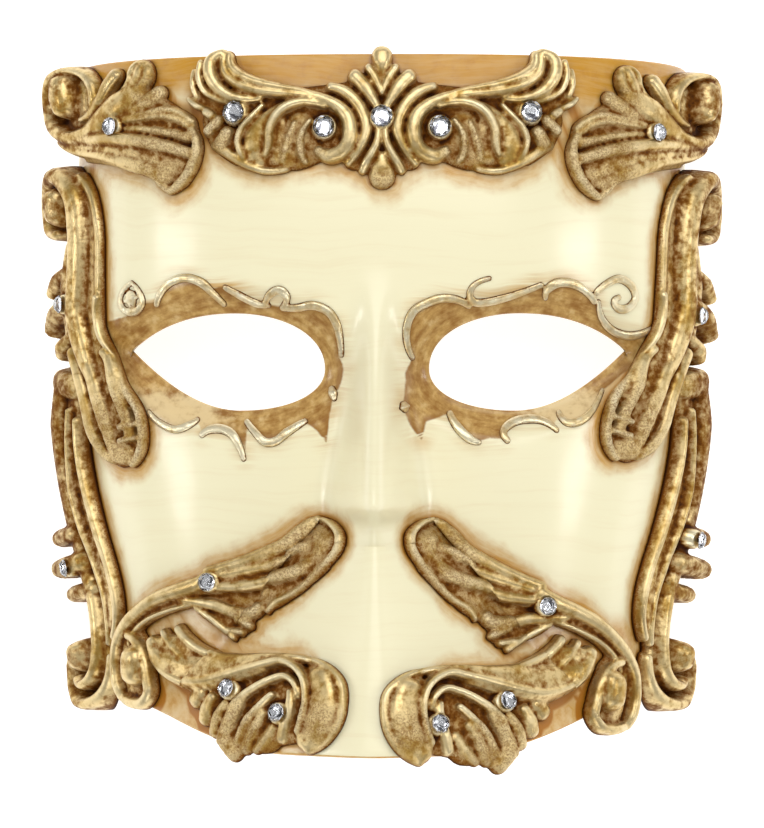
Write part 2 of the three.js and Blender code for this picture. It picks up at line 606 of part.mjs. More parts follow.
const crestSeats = [[-1, 'left', -CREST_SHIFT], [1, 'right', CREST_SHIFT]].map(([side, hand, shift]) => ({
  hand,
  place: seated(side, { shift: [shift, 0] }),
}))
const crestStrokes = [
  ...palmette.map((shape) => stroke(shape, crestSeats[1].place)),
  ...crestSeats.flatMap(({ place }) => crestHalf.map((shape) => stroke(shape, place))),
]
const crestSettings = [
  { name: 'crystal_brow_centre', crystal: centreCrystal, place: crestSeats[1].place },
  ...crestSeats.flatMap(({ hand, place }) => crestCrystals.map((crystal) => (
    { name: `${crystal.name}_${hand}`, crystal, place }))),
]
addNode('brow_crest', castOrnament(crestStrokes, crestSettings), silverLeaf)
for (const { name, crystal, place } of crestSettings) {
  addNode(name, crystalSolid(crystal, place), crystalGlass)
}

for (const { name, strokes, seat, crystals } of pairs) {
  for (const [side, hand] of [[-1, 'left'], [1, 'right']]) {
    const place = seated(side, side > 0 ? seat : {})
    const settings = crystals.map((crystal) => {
      const [girth, y] = side > 0 && crystal.twin ? crystal.twin : [crystal.girth, crystal.y]
      return { name: `${crystal.name}_${hand}`, crystal: { ...crystal, girth, y }, place }
    })
    addNode(`${name}_${hand}`, castOrnament(strokes.map((shape) => stroke(shape, place)), settings),
      silverLeaf)
    for (const { name: crystalName, crystal } of settings) {
      addNode(crystalName, crystalSolid(crystal, place), crystalGlass)
    }
  }
}

export default mask
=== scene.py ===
"""Venetian mask: a papier-mâché face in ivory lacquer, with cast and gilded scrolls and cut crystals.

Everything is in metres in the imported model's frame. The mask lies on the rims of its open back,
and the forehead points to +Y.
"""

import json
import math

import bpy
import numpy as np
from mathutils import Matrix, Vector, kdtree

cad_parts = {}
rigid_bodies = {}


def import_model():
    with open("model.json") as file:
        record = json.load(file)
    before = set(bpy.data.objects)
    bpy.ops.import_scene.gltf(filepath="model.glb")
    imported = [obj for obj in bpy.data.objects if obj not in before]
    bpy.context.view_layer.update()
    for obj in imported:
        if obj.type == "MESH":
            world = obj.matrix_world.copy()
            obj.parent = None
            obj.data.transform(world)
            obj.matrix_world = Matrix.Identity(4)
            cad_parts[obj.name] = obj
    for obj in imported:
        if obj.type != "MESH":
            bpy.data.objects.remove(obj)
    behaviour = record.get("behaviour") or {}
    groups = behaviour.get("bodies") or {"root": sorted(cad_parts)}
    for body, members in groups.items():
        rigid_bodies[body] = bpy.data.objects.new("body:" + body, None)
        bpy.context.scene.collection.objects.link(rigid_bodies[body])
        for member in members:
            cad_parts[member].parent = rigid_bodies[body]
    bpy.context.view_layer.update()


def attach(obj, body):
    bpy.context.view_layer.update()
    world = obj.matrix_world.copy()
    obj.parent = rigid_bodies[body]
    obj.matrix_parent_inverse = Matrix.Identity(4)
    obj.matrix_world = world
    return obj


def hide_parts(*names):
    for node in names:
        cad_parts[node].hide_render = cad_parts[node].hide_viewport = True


bl_info = {
    "name": "Venetian Mask",
    "version": (1, 0, 0),
    "blender": (4, 5, 0),
    "location": "View3D > Sidebar > Mask",
    "description": "Builds the looks of a Venetian mask around its packed solids",
    "category": "Object",
}

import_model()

MM = 0.001
BODY = "root"
HANDS = ((-1, "left"), (1, "right"))

# Form of the face, in millimetres. A place on it is a girth, the way round the face from its midline,
# and a height y. Girths on the left-hand side are negative.
TOP_EDGE = 100.6
BOTTOM_EDGE = -95.3
BOTTOM_RISE = 11.0
BOTTOM_RISES_OVER = (25, 85)
SHAPED_BELOW = -40.0
MEAN_HALF_WIDTH = 90.0
MEAN_CROWN = 70.0
SECTION_POWER = 2.5
EYE_DISH = 4.5
EYE_DISH_WIDTH = 9.0
CREST_SHIFT = 1.7
SIDE_SWELL = 0.65
SWELLS_OVER = (90, 110)
QUARTER = math.pi / 2


def curve_through(rows):
    """A smooth curve through (position, value) rows, run on straight past its ends."""
    rows = sorted(rows)
    at = np.array([row[0] for row in rows], float)
    value = np.array([row[1] for row in rows], float)
    slope = np.empty_like(value)
    slope[1:-1] = (value[2:] - value[:-2]) / (at[2:] - at[:-2])
    slope[0] = (value[1] - value[0]) / (at[1] - at[0])
    slope[-1] = (value[-1] - value[-2]) / (at[-1] - at[-2])

    def evaluate(position):
        position = np.asarray(position, float)
        held = np.clip(position, at[0], at[-1])
        i = np.clip(np.searchsorted(at, held, side="right") - 1, 0, len(at) - 2)
        span = at[i + 1] - at[i]
        t = (held - at[i]) / span
        inside = (2 * t**3 - 3 * t**2 + 1) * value[i] + (t**3 - 2 * t**2 + t) * span * slope[i]
        inside += (3 * t**2 - 2 * t**3) * value[i + 1] + (t**3 - t**2) * span * slope[i + 1]
        return inside + np.where(position < at[0], slope[0], slope[-1]) * (position - held)

    return evaluate


def soft_step(low, high, value):
    """0 below low, 1 above high, and a smooth rise between."""
    part = np.clip((value - low) / (high - low), 0, 1)
    return part * part * (3 - 2 * part)


half_width = curve_through([(99, 91), (60, 90.5), (0, 90.5), (-20, 88.5), (-40, 85), (-60, 82.2),
                            (-85, 80.5), (-97, 80)])
crown = curve_through([(99, 66), (60, 70), (30, 70), (10, 67), (-10, 66), (-40, 68), (-70, 71), (-97, 74)])
nose_height = curve_through([(-38, 0), (-32, 8), (-27, 24), (-22, 28), (-10, 23), (5, 14), (16, 8),
                             (28, 2.5), (40, 0)])
nose_half_width = curve_through([(-38, 14), (-21, 13.5), (16, 8), (40, 8)])
prow_height = curve_through([(-97, 25), (-60, 22), (-38, 19), (-31, 14), (-24, 3), (-12, 0)])

EYE_CURVES = (
    ((71, 17), (63, 24), (53, 27.3), (41, 27.3)),
    ((41, 27.3), (27, 27.3), (14.8, 21.5), (14.8, 11.5)),
    ((14.8, 11.5), (14.8, 4.5), (25, -0.3), (39, -0.3)),
    ((39, -0.3), (51, -0.3), (62, 8), (71, 17)),
)


def eye_outline(count):
    """Evenly spaced points round one eye hole, from its outer corner over the top."""
    t = np.linspace(0, 1, 60, endpoint=False)[:, None]
    parts = [(1 - t) ** 3 * a + 3 * (1 - t) ** 2 * t * b + 3 * (1 - t) * t**2 * c + t**3 * d
             for a, b, c, d in np.array(EYE_CURVES, float)]
    points = np.concatenate(parts + [parts[0][:1]])
    length = np.concatenate([[0], np.cumsum(np.linalg.norm(np.diff(points, axis=0), axis=1))])
    stops = np.linspace(0, length[-1], count, endpoint=False)
    return np.stack([np.interp(stops, length, points[:, axis]) for axis in (0, 1)], axis=1)


# Distance to the eye hole's edge, worked out once on a grid
EYE_GRID_STEP = 0.5
EYE_GRID_X = np.arange(0, 97, EYE_GRID_STEP)
EYE_GRID_Y = np.arange(-41, 67, EYE_GRID_STEP)


def distance_to(outline, places):
    """Distance from each place to a closed outline."""
    start = np.array(outline, float)
    run = np.roll(start, -1, axis=0) - start
    away = np.asarray(places)[..., None, :] - start
    part = np.clip((away * run).sum(-1) / (run**2).sum(-1), 0, 1)
    return np.linalg.norm(away - part[..., None] * run, axis=-1).min(-1)


EYE_GRID_PLACES = np.stack(np.meshgrid(EYE_GRID_X, EYE_GRID_Y, indexing="ij"), axis=-1)
EYE_GRID = distance_to(eye_outline(160), EYE_GRID_PLACES)


def eye_distance(x, y):
    across = np.clip((np.abs(x) - EYE_GRID_X[0]) / EYE_GRID_STEP, 0, len(EYE_GRID_X) - 1.001)
    up = np.clip((y - EYE_GRID_Y[0]) / EYE_GRID_STEP, 0, len(EYE_GRID_Y) - 1.001)
    i, j = across.astype(int), up.astype(int)
    s, t = across - i, up - j
    low = EYE_GRID[i, j] * (1 - s) + EYE_GRID[i + 1, j] * s
    return low * (1 - t) + (EYE_GRID[i, j + 1] * (1 - s) + EYE_GRID[i + 1, j + 1] * s) * t


# Nose, chin prow, eye sockets and cheeks
NOSE_FOOT = -38
NOSE_TOP = 40
NOSE_SLIMNESS = 0.62
NOSE_BLUNTNESS = 2.2
PROW_TOP = -12
PROW_NARROW = 13
PROW_WIDE = 70
PROW_WIDENS_BELOW = -31
PROW_WIDENS_BY = 0.72
PROW_REACH = 1.12
PROW_ROUND = 0.012
PROW_BLUNTNESS = 1.15
EYE_SOCKET = {"height": -3, "middle": 42, "width": 26, "level": 13, "rise": 15}
CHEEK = {"height": 1.5, "middle": 55, "width": 20, "level": -28, "rise": 20}


def swelling(across, y, height, middle, width, level, rise):
    """A round swelling of the face, or a dent where its height is below 0."""
    return height * np.exp(-(((across - middle) / width) ** 2) - ((y - level) / rise) ** 2)


def relief(x, y):
    """Height that nose, chin prow, eye sockets and cheeks add to the plain arch of the face."""
    across = np.abs(x)
    nose_side = across / nose_half_width(np.clip(y, NOSE_FOOT, NOSE_TOP)) / NOSE_SLIMNESS
    on_nose = (y > NOSE_FOOT) & (y < NOSE_TOP)
    nose = np.where(on_nose, np.maximum(nose_height(y), 0), 0) * np.exp(-(nose_side**NOSE_BLUNTNESS))
    half_prow = np.clip(PROW_NARROW + (PROW_WIDENS_BELOW - y) * PROW_WIDENS_BY, PROW_NARROW, PROW_WIDE)
    roof = np.maximum(PROW_REACH - np.sqrt((across / half_prow) ** 2 + PROW_ROUND), 0)
    roof = (roof / (PROW_REACH - math.sqrt(PROW_ROUND))) ** PROW_BLUNTNESS
    prow = np.where(y < PROW_TOP, np.maximum(prow_height(y), 0), 0) * roof
    return nose + prow + swelling(across, y, **EYE_SOCKET) + swelling(across, y, **CHEEK)


def reach(angle, wide, tall):
    """How far the section of the plain arch lies from its centre, at an angle from the midline."""
    across = (np.abs(np.sin(angle)) / wide) ** SECTION_POWER
    up = (np.abs(np.cos(angle)) / tall) ** SECTION_POWER
    return (across + up) ** (-1 / SECTION_POWER)


TABLE_ANGLES = np.linspace(0, QUARTER, 181)
TABLE_REACH = reach(TABLE_ANGLES, MEAN_HALF_WIDTH, MEAN_CROWN)
TABLE_X = TABLE_REACH * np.sin(TABLE_ANGLES)
TABLE_Z = TABLE_REACH * np.cos(TABLE_ANGLES)
TABLE_STEPS = np.hypot(np.diff(TABLE_X), np.diff(TABLE_Z))
TABLE_GIRTHS = np.concatenate([[0], np.cumsum(TABLE_STEPS)])
RIM_GIRTH = float(TABLE_GIRTHS[-1])


def angle_at(girth):
    return np.sign(girth) * np.interp(np.abs(girth), TABLE_GIRTHS, TABLE_ANGLES)


def surface_at(angle, y):
    """Points of the shell's outer face, its eye surrounds dished."""
    r = reach(angle, half_width(y), crown(y))
    x = r * np.sin(angle)
    z = r * np.cos(angle) + relief(x, y) * soft_step(0, 0.35, np.abs(np.cos(angle)))
    z = z - EYE_DISH * (1 - soft_step(0, EYE_DISH_WIDTH, eye_distance(x, y)))
    return np.stack([x, y + 0 * x, z], axis=-1)


def normal_at(angle, y):
    across = surface_at(angle + 0.01, y) - surface_at(angle - 0.01, y)
    along = surface_at(angle, y + 0.3) - surface_at(angle, y - 0.3)
    normal = np.cross(across, along)
    return normal / np.linalg.norm(normal, axis=-1, keepdims=True)


def laid(girth, y, lift):
    """Points at a height over the shell, in millimetres. Castings are thicker on the side walls."""
    angle = angle_at(girth)
    swell = 1 + SIDE_SWELL * soft_step(*SWELLS_OVER, np.abs(girth))
    rise = np.asarray(lift * swell)
    return surface_at(angle, y) + normal_at(angle, y) * rise[..., None]


def angle_at_width(x, y):
    """The section angle at which the plain arch is x wide."""
    low, high = np.zeros_like(x, float), np.full_like(x, QUARTER, dtype=float)
    for _ in range(30):
        middle = (low + high) / 2
        short = reach(middle, half_width(y), crown(y)) * np.sin(middle) < np.abs(x)
        low, high = np.where(short, middle, low), np.where(short, high, middle)
    return np.sign(x) * low


# Modelling helpers
def take(piece):
    """Makes one piece the only selected and the active one."""
    bpy.ops.object.select_all(action="DESELECT")
    piece.select_set(True)
    bpy.context.view_layer.objects.active = piece


def finish_with(piece, name, kind, **settings):
    """Adds a modifier and applies it."""
    take(piece)
    modifier = piece.modifiers.new(name, kind)
    for key, value in settings.items():
        setattr(modifier, key, value)
    bpy.ops.object.modifier_apply(modifier=modifier.name)


def new_piece(name, points, faces):
    mesh = bpy.data.meshes.new(name)
    mesh.from_pydata([tuple(point) for point in points], [], faces)
    mesh.update()
    piece = bpy.data.objects.new(name, mesh)
    bpy.context.scene.collection.objects.link(piece)
    return piece


def corners(piece):
    places = np.empty(len(piece.data.vertices) * 3)
    piece.data.vertices.foreach_get("co", places)
    return places.reshape(-1, 3)


def place_corners(piece, points):
    piece.data.vertices.foreach_set("co", np.asarray(points, float).ravel())
    piece.data.update()


def write_value(piece, name, values):
    """Stores one number for each corner, for the materials to read."""
    attribute = piece.data.attributes.get(name) or piece.data.attributes.new(name, "FLOAT", "POINT")
    attribute.data.foreach_set("value", np.asarray(values, np.float32))


def spread(piece, values, times):
    """Values averaged again and again with those of the neighbouring corners."""
    ends = np.empty(len(piece.data.edges) * 2, np.int32)
    piece.data.edges.foreach_get("vertices", ends)
    one, other = ends[::2], ends[1::2]
    count = len(values)
    neighbours = np.maximum(np.bincount(one, minlength=count) + np.bincount(other, minlength=count), 1)
    for _ in range(times):
        total = np.bincount(one, values[other], count) + np.bincount(other, values[one], count)
        values = (values + total / neighbours) / 2
    return values


def shade_smooth(piece, angle=None):
    take(piece)
    if angle is None:
        bpy.ops.object.shade_smooth()
    else:
        bpy.ops.object.shade_smooth_by_angle(angle=angle)


def dress(piece, slot, node=None, *finishes):
    """Rides a finished piece on the mask, hides the solid it replaces, and gives it its materials. The slot
    is not used.
    """
    for finish in finishes:
        piece.data.materials.append(finish)
    if node:
        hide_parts(node)
    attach(piece, BODY)


# Carved ridges. They are drawn flat, with the girth outward from the midline, y, and the height over
# the shell, joined into one skin, and then laid on the face.
SKIRT = 0.8
SHOULDER = 2.5
SOFTENED_AWAY = 0.35
EDGE_HEIGHT = 0.32


def even_path(points, spacing):
    """Places, headings and shares of the way along a smooth path, at an even spacing."""
    points = np.array(points, float)
    knots = np.concatenate([[0], np.cumsum(np.linalg.norm(np.diff(points, axis=0), axis=1) ** 0.5)])
    pace = np.diff(points, axis=0) / np.diff(knots)[:, None]
    slope = np.empty_like(points)
    before, after = np.diff(knots)[:-1, None], np.diff(knots)[1:, None]
    slope[1:-1] = (pace[:-1] * after + pace[1:] * before) / (before + after)
    slope[0] = pace[0] if len(points) == 2 else 2 * pace[0] - slope[1]
    slope[-1] = pace[-1] if len(points) == 2 else 2 * pace[-1] - slope[-2]
    t = np.linspace(0, 1, 24, endpoint=False)[:, None]
    pieces, shares = [], []
    for i, span in enumerate(np.diff(knots)):
        pieces.append((2 * t**3 - 3 * t**2 + 1) * points[i] + (t**3 - 2 * t**2 + t) * span * slope[i]
                      + (3 * t**2 - 2 * t**3) * points[i + 1] + (t**3 - t**2) * span * slope[i + 1])
        shares.append((i + t[:, 0]) / (len(points) - 1))
    way = np.concatenate(pieces + [points[-1:]])
    share = np.concatenate(shares + [[1.0]])
    length = np.concatenate([[0], np.cumsum(np.linalg.norm(np.diff(way, axis=0), axis=1))])
    stops = np.linspace(0, length[-1], max(int(length[-1] / spacing) + 1, 4))
    place = np.stack([np.interp(stops, length, way[:, axis]) for axis in (0, 1)], axis=1)
    heading = np.gradient(place, axis=0)
    heading /= np.maximum(np.linalg.norm(heading, axis=1, keepdims=True), 1e-9)
    return place, heading, np.interp(stops, length, share)


def ridge_mesh(path, wide, tall, ribs=1, groove=0.3, spacing=0.7):
    """One closed ridge with rounded ends. ribs flutes it lengthwise, with grooves of that depth."""
    place, heading, share = even_path(path, spacing)
    half = np.interp(share, np.linspace(0, 1, len(wide)), wide) + SOFTENED_AWAY
    top = np.interp(share, np.linspace(0, 1, len(tall)), tall)
    rings = [(place[i], heading[i], half[i], top[i]) for i in range(len(place))]
    for part in (0.4, 0.7, 0.88, 0.98):
        narrow = math.sqrt(1 - part**2)
        low = (1 - part**2.4) ** 0.45
        start = place[0] - heading[0] * half[0] * part
        end = place[-1] + heading[-1] * half[-1] * part
        rings.insert(0, (start, heading[0], half[0] * narrow, top[0] * low))
        rings.append((end, heading[-1], half[-1] * narrow, top[-1] * low))
    q = np.linspace(-1, 1, 6 * ribs + 5)
    arch = EDGE_HEIGHT + (1 - EDGE_HEIGHT) * np.maximum(1 - np.abs(q) ** SHOULDER, 0) ** (1 / SHOULDER)
    if ribs > 1:
        inside = np.abs(((q + 1) / 2 * ribs) % 1 * 2 - 1)
        arch = arch * (1 - groove + groove * np.sqrt(np.maximum(1 - inside**2, 0)))
    points = []
    for middle, ahead, width, height in rings:
        side = np.array([-ahead[1], ahead[0]]) * width
        points += [(*(middle + side * part), height * level) for part, level in zip(q, arch)]
        points += [(*(middle + side), -SKIRT), (*(middle - side), -SKIRT)]
    ring = len(q) + 2
    faces = [tuple(range(ring)), tuple(reversed(range((len(rings) - 1) * ring, len(rings) * ring)))]
    for i in range(len(rings) - 1):
        for j in range(ring):
            k = (j + 1) % ring
            faces.append((i * ring + j, (i + 1) * ring + j, (i + 1) * ring + k, i * ring + k))
    return points, faces


def flat_casting(name, ridges, grain):
    """All the ridges of one casting as one flat skin of even small faces."""
    points, faces = [], []
    for ridge in ridges:
        more_points, more_faces = ridge_mesh(*ridge)
        faces += [tuple(len(points) + i for i in face) for face in more_faces]
        points += more_points
    casting = new_piece(name, points, faces)
    take(casting)
    bpy.ops.object.mode_set(mode="EDIT")
    bpy.ops.mesh.select_all(action="SELECT")
    bpy.ops.mesh.normals_make_consistent(inside=False)
    bpy.ops.object.mode_set(mode="OBJECT")
    finish_with(casting, "One skin", "REMESH", mode="VOXEL", voxel_size=grain)
    finish_with(casting, "Soften", "SMOOTH", factor=0.5, iterations=2)
    return casting


# The back of a casting follows the shell at a small gap, and heights under the zone are drawn up to it
BASE_GAP = 0.1
BASE_ZONE = 1.2

# The looks of the cast skin: painted shade that darkens the side walls, shares of the height over a near
# and a far average that count as hollow, and the bumps of the skin
WALL_PAINTED_SHADE = 0.24
HOLLOWS = ((0.6, 14), (0.4, 60))
COARSE_CORE = 0.35
BUMP_HEIGHT = 0.6
BUMPS_EVERYWHERE = 0.15
BUMPS_ON_COARSE = 0.7


def seat_back(flat):
    """Heights with the skirt below the shell drawn up, so that the back follows the shell."""
    height = flat[:, 2]
    low = height.min()
    share = (height - low) / (BASE_ZONE - low)
    flat[:, 2] = np.where(height < BASE_ZONE, BASE_GAP + share * (BASE_ZONE - BASE_GAP), height)


def set_crystals(flat, crystals):
    """Sinks a flat bed for each crystal and draws the casting up to its edge."""
    for girth, y, lift, radius in crystals:
        away = np.hypot(flat[:, 0] - girth, flat[:, 1] - y)
        collar = (lift + 0.1) * (1 - soft_step(radius + 0.1, radius + 1.2, away))
        top = flat[:, 2] > BASE_ZONE
        flat[top, 2] = np.maximum(flat[top, 2], collar[top])
        bed = lift + 0.1 + 3 * np.maximum(away - radius, 0)
        flat[:, 2] = np.minimum(flat[:, 2], np.maximum(bed, lift + 0.1))


def own_crystal(crystal, side):
    """Girth, y, height and radius of a crystal. A right-hand one may have a spot of its own."""
    girth, y, lift, radius, *twin = crystal
    return (*(twin[0] if side > 0 and twin else (girth, y)), lift, radius)


def seat_place(flat, seat):
    """Girths and heights y of a casting turned and moved from its twin's place."""
    pivot = np.array(seat.get("pivot", (0, 0)), float)
    turn = math.radians(seat.get("turn", 0))
    shift = np.array(seat.get("shift", (0, 0)), float)
    spin = np.array([[math.cos(turn), math.sin(turn)], [-math.sin(turn), math.cos(turn)]])
    return (flat[:, :2] - pivot) @ spin + pivot + shift


def lay_on_face(name, casting, flat, side, seat, coarse_spots, bumps, grain_above=BASE_ZONE):
    """A copy of a flat casting, laid on one half of the face, with its grain, its hollows and painted shade
    on the side walls.
    """
    piece = bpy.data.objects.new(name, casting.data.copy())
    piece.data.name = name
    bpy.context.scene.collection.objects.link(piece)
    spot = seat_place(flat, seat)
    place_corners(piece, laid(side * spot[:, 0], spot[:, 1], flat[:, 2]) * MM)
    if side < 0:
        piece.data.flip_normals()
    rough = np.zeros(len(flat))
    for girth, y, radius in coarse_spots:
        away = np.hypot(flat[:, 0] - girth, flat[:, 1] - y)
        rough = np.maximum(rough, 1 - soft_step(radius * COARSE_CORE, radius, away))
    height = flat[:, 2]
    hollow_and_wall_shade = sum(share * (spread(piece, height, times) - height) for share, times in HOLLOWS)
    # The stored value is the hollows plus painted shade that darkens the side walls
    write_value(piece, "hollow_and_wall_shade", hollow_and_wall_shade + WALL_PAINTED_SHADE * soft_step(*SWELLS_OVER, np.abs(spot[:, 0])))
    write_value(piece, "rise", height)
    write_value(piece, "coarse", rough)
    group = piece.vertex_groups.new(name="grain")
    weight = np.where(height > grain_above, BUMPS_EVERYWHERE + BUMPS_ON_COARSE * rough, 0)
    for i in np.flatnonzero(weight):
        group.add([int(i)], float(weight[i]), "REPLACE")
    finish_with(piece, "Grain", "DISPLACE", texture=bumps, texture_coords="LOCAL",
                strength=BUMP_HEIGHT * MM, mid_level=0.5, vertex_group="grain")
    piece.vertex_groups.clear()
    shade_smooth(piece)
    return piece


# Ridges of the castings: path in girth and y, half width, height, and where fluted the number of ribs
# and the depth of the grooves between them. The first ones of each are the low sheet the rest stands on.
# Many of the places were picked in the photo and turned into millimetres by a separate script.
CREST_MIDDLE = [
    ([(0, 95), (0, 85.5), (0, 73)], (3.5, 6.5, 4), (1.8, 2, 1.8)),
    ([(0, 99.3), (0, 97.3), (0, 92.5)], (2.9, 2.6, 0.5), (4.6, 5, 4)),
    ([(0, 82.5), (0, 81)], (3.2, 3.2), (4.6, 4.6)),
    ([(0, 71), (0, 68), (0, 65.5)], (1.2, 2.8, 3.6), (3.8, 3.8, 3)),
]
CREST_HALF = [
    ([(52, 89), (40, 85), (24, 83.5), (9, 84), (1, 83.5)], (3.5, 5.5, 7, 8, 4.5), (1.8, 1.8, 1.8, 2, 2)),
    ([(51, 97), (46.5, 93.5), (38, 90)], (2.6, 4, 3), (1.8, 1.8, 1.8)),
    ([(49, 82), (46, 77), (41, 72)], (3.5, 4.2, 3), (1.8, 2, 1.8)),
    ([(38, 76), (31, 74), (24, 73.5), (16, 75)], (3.5, 6, 6, 4), (2, 2, 2, 2)),
    ([(6, 80), (6, 74), (8, 70)], (5, 4.5, 2.6), (1.8, 1.8, 1.6)),
    ([(23.5, 80), (25.5, 75.5), (27.5, 71)], (4, 4.6, 3.5), (2.8, 3, 2.4)),
    ([(4, 96), (2, 93), (0, 88.5)], (1, 1.2, 0.5), (4.2, 4.6, 4.4)),
    ([(8, 93.5), (5, 90.5), (1.5, 85)], (2, 2, 1.1), (4.4, 5, 4.6)),
    ([(15, 90.5), (10, 88.5), (6, 84), (4.5, 79), (5.5, 75), (7.5, 71.5), (9.5, 69)],
     (1.2, 1.7, 1.7, 1.6, 1.3, 1.1, 0.8),
     (4.2, 4.8, 5, 5, 4.8, 4.2, 3.2)),
    ([(1, 78.5), (1.5, 74.5), (3, 71.5), (4.5, 69), (5.5, 67)], (0.7, 1, 1.1, 1.1, 1),
     (4.6, 4.8, 4.6, 4.2, 3)),
    ([(46, 99.5), (45, 95.5), (41, 92.5), (35, 90.5), (29, 89.5), (22.5, 88.5), (17, 86.5)],
     (1.8, 2.5, 2.7, 2.5, 2, 1.4, 1.1), (4.4, 5, 5.4, 5.4, 5.4, 5.4, 5.4), 2, 0.2),
    ([(24, 89), (18.5, 87.5), (13, 85), (10, 82), (9, 78), (9.5, 74.5), (11.5, 72), (15, 71), (18, 72.5)],
     (0.8, 1.3, 1.7, 2, 2.1, 2.1, 2.1, 2, 1.3), (5, 5.4, 5.8, 6.2, 6.4, 6.2, 5.4, 4.6, 3.8)),
    ([(47.5, 100.5), (50.5, 98.5), (50.5, 95), (48.5, 91.5), (45.5, 89), (41, 87.5), (35.5, 87.5)],
     (1.2, 1.8, 1.9, 1.8, 1.5, 1.2, 0.7), (4.4, 5, 5.4, 5.4, 5, 4.6, 3.6)),
    ([(54, 98.5), (54, 94), (52, 90), (49, 88), (44.5, 86.5)], (0.5, 0.8, 0.7, 0.7, 0.5),
     (3.4, 4.2, 4.2, 4, 3.6)),
    ([(56, 96), (56, 92), (54.5, 88.5)], (0.5, 0.7, 0.6), (2.8, 3.2, 2.8)),
    ([(57, 88), (54.5, 86), (51.5, 85)], (0.5, 0.8, 0.5), (3, 3.4, 3)),
    ([(51, 84), (49.5, 83)], (1.2, 1.2), (4.2, 4.4)),
    ([(47, 81.5), (50, 78.5)], (1.3, 1.4), (4.4, 4.2)),
    ([(44.5, 78), (46, 75)], (1.7, 2), (4.2, 3.8)),
    ([(48, 74.5), (44.5, 72.5), (40.5, 70), (36.5, 68), (32.5, 67), (27, 67.5)], (1.2, 1.2, 1, 0.8, 0.8, 0.6),
     (2.6, 3.2, 3.2, 3.2, 3, 2.4)),
    ([(34.5, 85.5), (37.5, 82), (40, 79), (41, 75.5), (40, 72), (38.5, 70)], (0.5, 0.8, 0.8, 0.8, 0.7, 0.4),
     (4, 4.8, 4.8, 4.6, 4.2, 3.2)),
    ([(22.5, 87), (29, 84.5), (33.5, 81), (36, 77.5), (36.5, 73.5), (35, 70)], (0.8, 1.5, 2.2, 2.8, 3, 2.2),
     (4.2, 4.4, 4.2, 4, 3.8, 3)),
    ([(16.5, 85), (20.5, 86), (24, 86), (28, 84.5), (30.5, 82), (32, 78), (32, 74.5), (33, 71.5)],
     (0.7, 1.1, 1.2, 1.3, 1.3, 1.2, 1.1, 0.7), (4.8, 5.6, 5.8, 6, 6, 5.8, 5.2, 4)),
    ([(25, 80.5), (26.5, 76.5), (27.5, 72.5), (28, 69.5)], (0.6, 0.9, 1, 0.7), (3.6, 4, 3.8, 2.8)),
    ([(20.5, 81), (23, 77), (23, 72), (21.5, 69.5)], (0.6, 0.9, 1, 0.7), (4, 4.2, 4, 3)),
    ([(30, 82), (29, 76), (30, 70.5)], (1.6, 2.2, 1.8), (3, 3.2, 2.6)),
    ([(18, 79), (16, 79)], (2.6, 3.3), (3.4, 3.8)),
    ([(43, 83.5), (41, 83.5)], (3, 3), (3.6, 3.6)),
]
CORNER_LEAF = [
    ([(90, 81.5), (74, 84.5), (64, 82.5), (56, 78.5)], (3, 6, 5.5, 4), (3, 3.2, 2.8, 2.2)),
    ([(103, 79), (84, 75.5), (68, 73.5), (57.5, 69)], (3, 3.5, 5, 5), (4, 4.2, 3.8, 2.6)),
    ([(101.5, 92), (101.5, 86)], (6.2, 6.8), (3, 3)),
    ([(79, 84), (90, 81), (101, 79.5), (110, 84.5), (112, 92), (108, 97), (101, 99), (94.5, 97.5),
      (90.5, 93.5),
      (90, 88.5)], (1.4, 1.8, 2, 2.2, 2.2, 1.5, 1, 1.2, 1.6, 1.2),
     (4.6, 5.2, 5.6, 6.4, 6.8, 6.8, 6.2, 5.4, 5, 4.6)),
    ([(102.5, 95.5), (102, 91), (101.5, 88)], (2.9, 3.4, 3), (7.4, 7.6, 7.2)),
    ([(81, 96), (83.5, 93), (86.5, 89), (91, 86), (97, 84.5)], (2, 2.1, 1.7, 1.4, 0.8),
     (4.2, 4.8, 4.8, 4.4, 3.6)),
    ([(95, 79.5), (86, 83), (79, 87), (72, 90.5)], (2, 3.4, 4, 3.2), (4.8, 5.4, 5.4, 4.4)),
    ([(72, 95.5), (73, 93.5), (77, 91)], (4.6, 4.2, 1.8), (4.2, 4.4, 3.6), 3, 0.3),
    ([(65, 90), (67.5, 88), (71, 86), (77, 84.5)], (2.2, 2.4, 1.8, 1), (3.6, 4.2, 4.2, 3.8)),
    ([(78, 82.5), (68.5, 83.5), (61, 84), (54.5, 81)], (0.8, 1.5, 2.1, 1.8), (4.2, 4.6, 4.6, 3.4), 2, 0.3),
    ([(80, 80.5), (66.5, 79.5), (54.5, 77)], (0.6, 1, 1.3), (3.6, 3.8, 3.2)),
    ([(101, 78.5), (88, 78), (77.5, 77.5), (65, 75.5), (54, 72.5)], (1.1, 1.5, 1.7, 1.8, 1.4),
     (4.6, 5.4, 5.8, 5.4, 4.4)),
    ([(107, 79), (98, 76), (84, 74), (71, 71.5), (61, 67.5)], (1.5, 2, 2.7, 3.6, 3.6),
     (4.8, 4.8, 4.6, 4.2, 3.2), 2, 0.15),
    ([(53.5, 79), (51.5, 74.5), (52.5, 69), (55.5, 64.5), (59.5, 62)], (1, 1.2, 1.3, 1.3, 0.9),
     (3.4, 4.2, 4.4, 4, 2.8)),
    ([(94, 72.5), (79.5, 70.5), (72, 68.5), (66, 67), (62, 63.5), (59.5, 62)], (0.5, 0.6, 0.7, 0.7, 0.7, 0.8),
     (2.8, 3.2, 3.2, 3, 2.8, 2.6)),
]
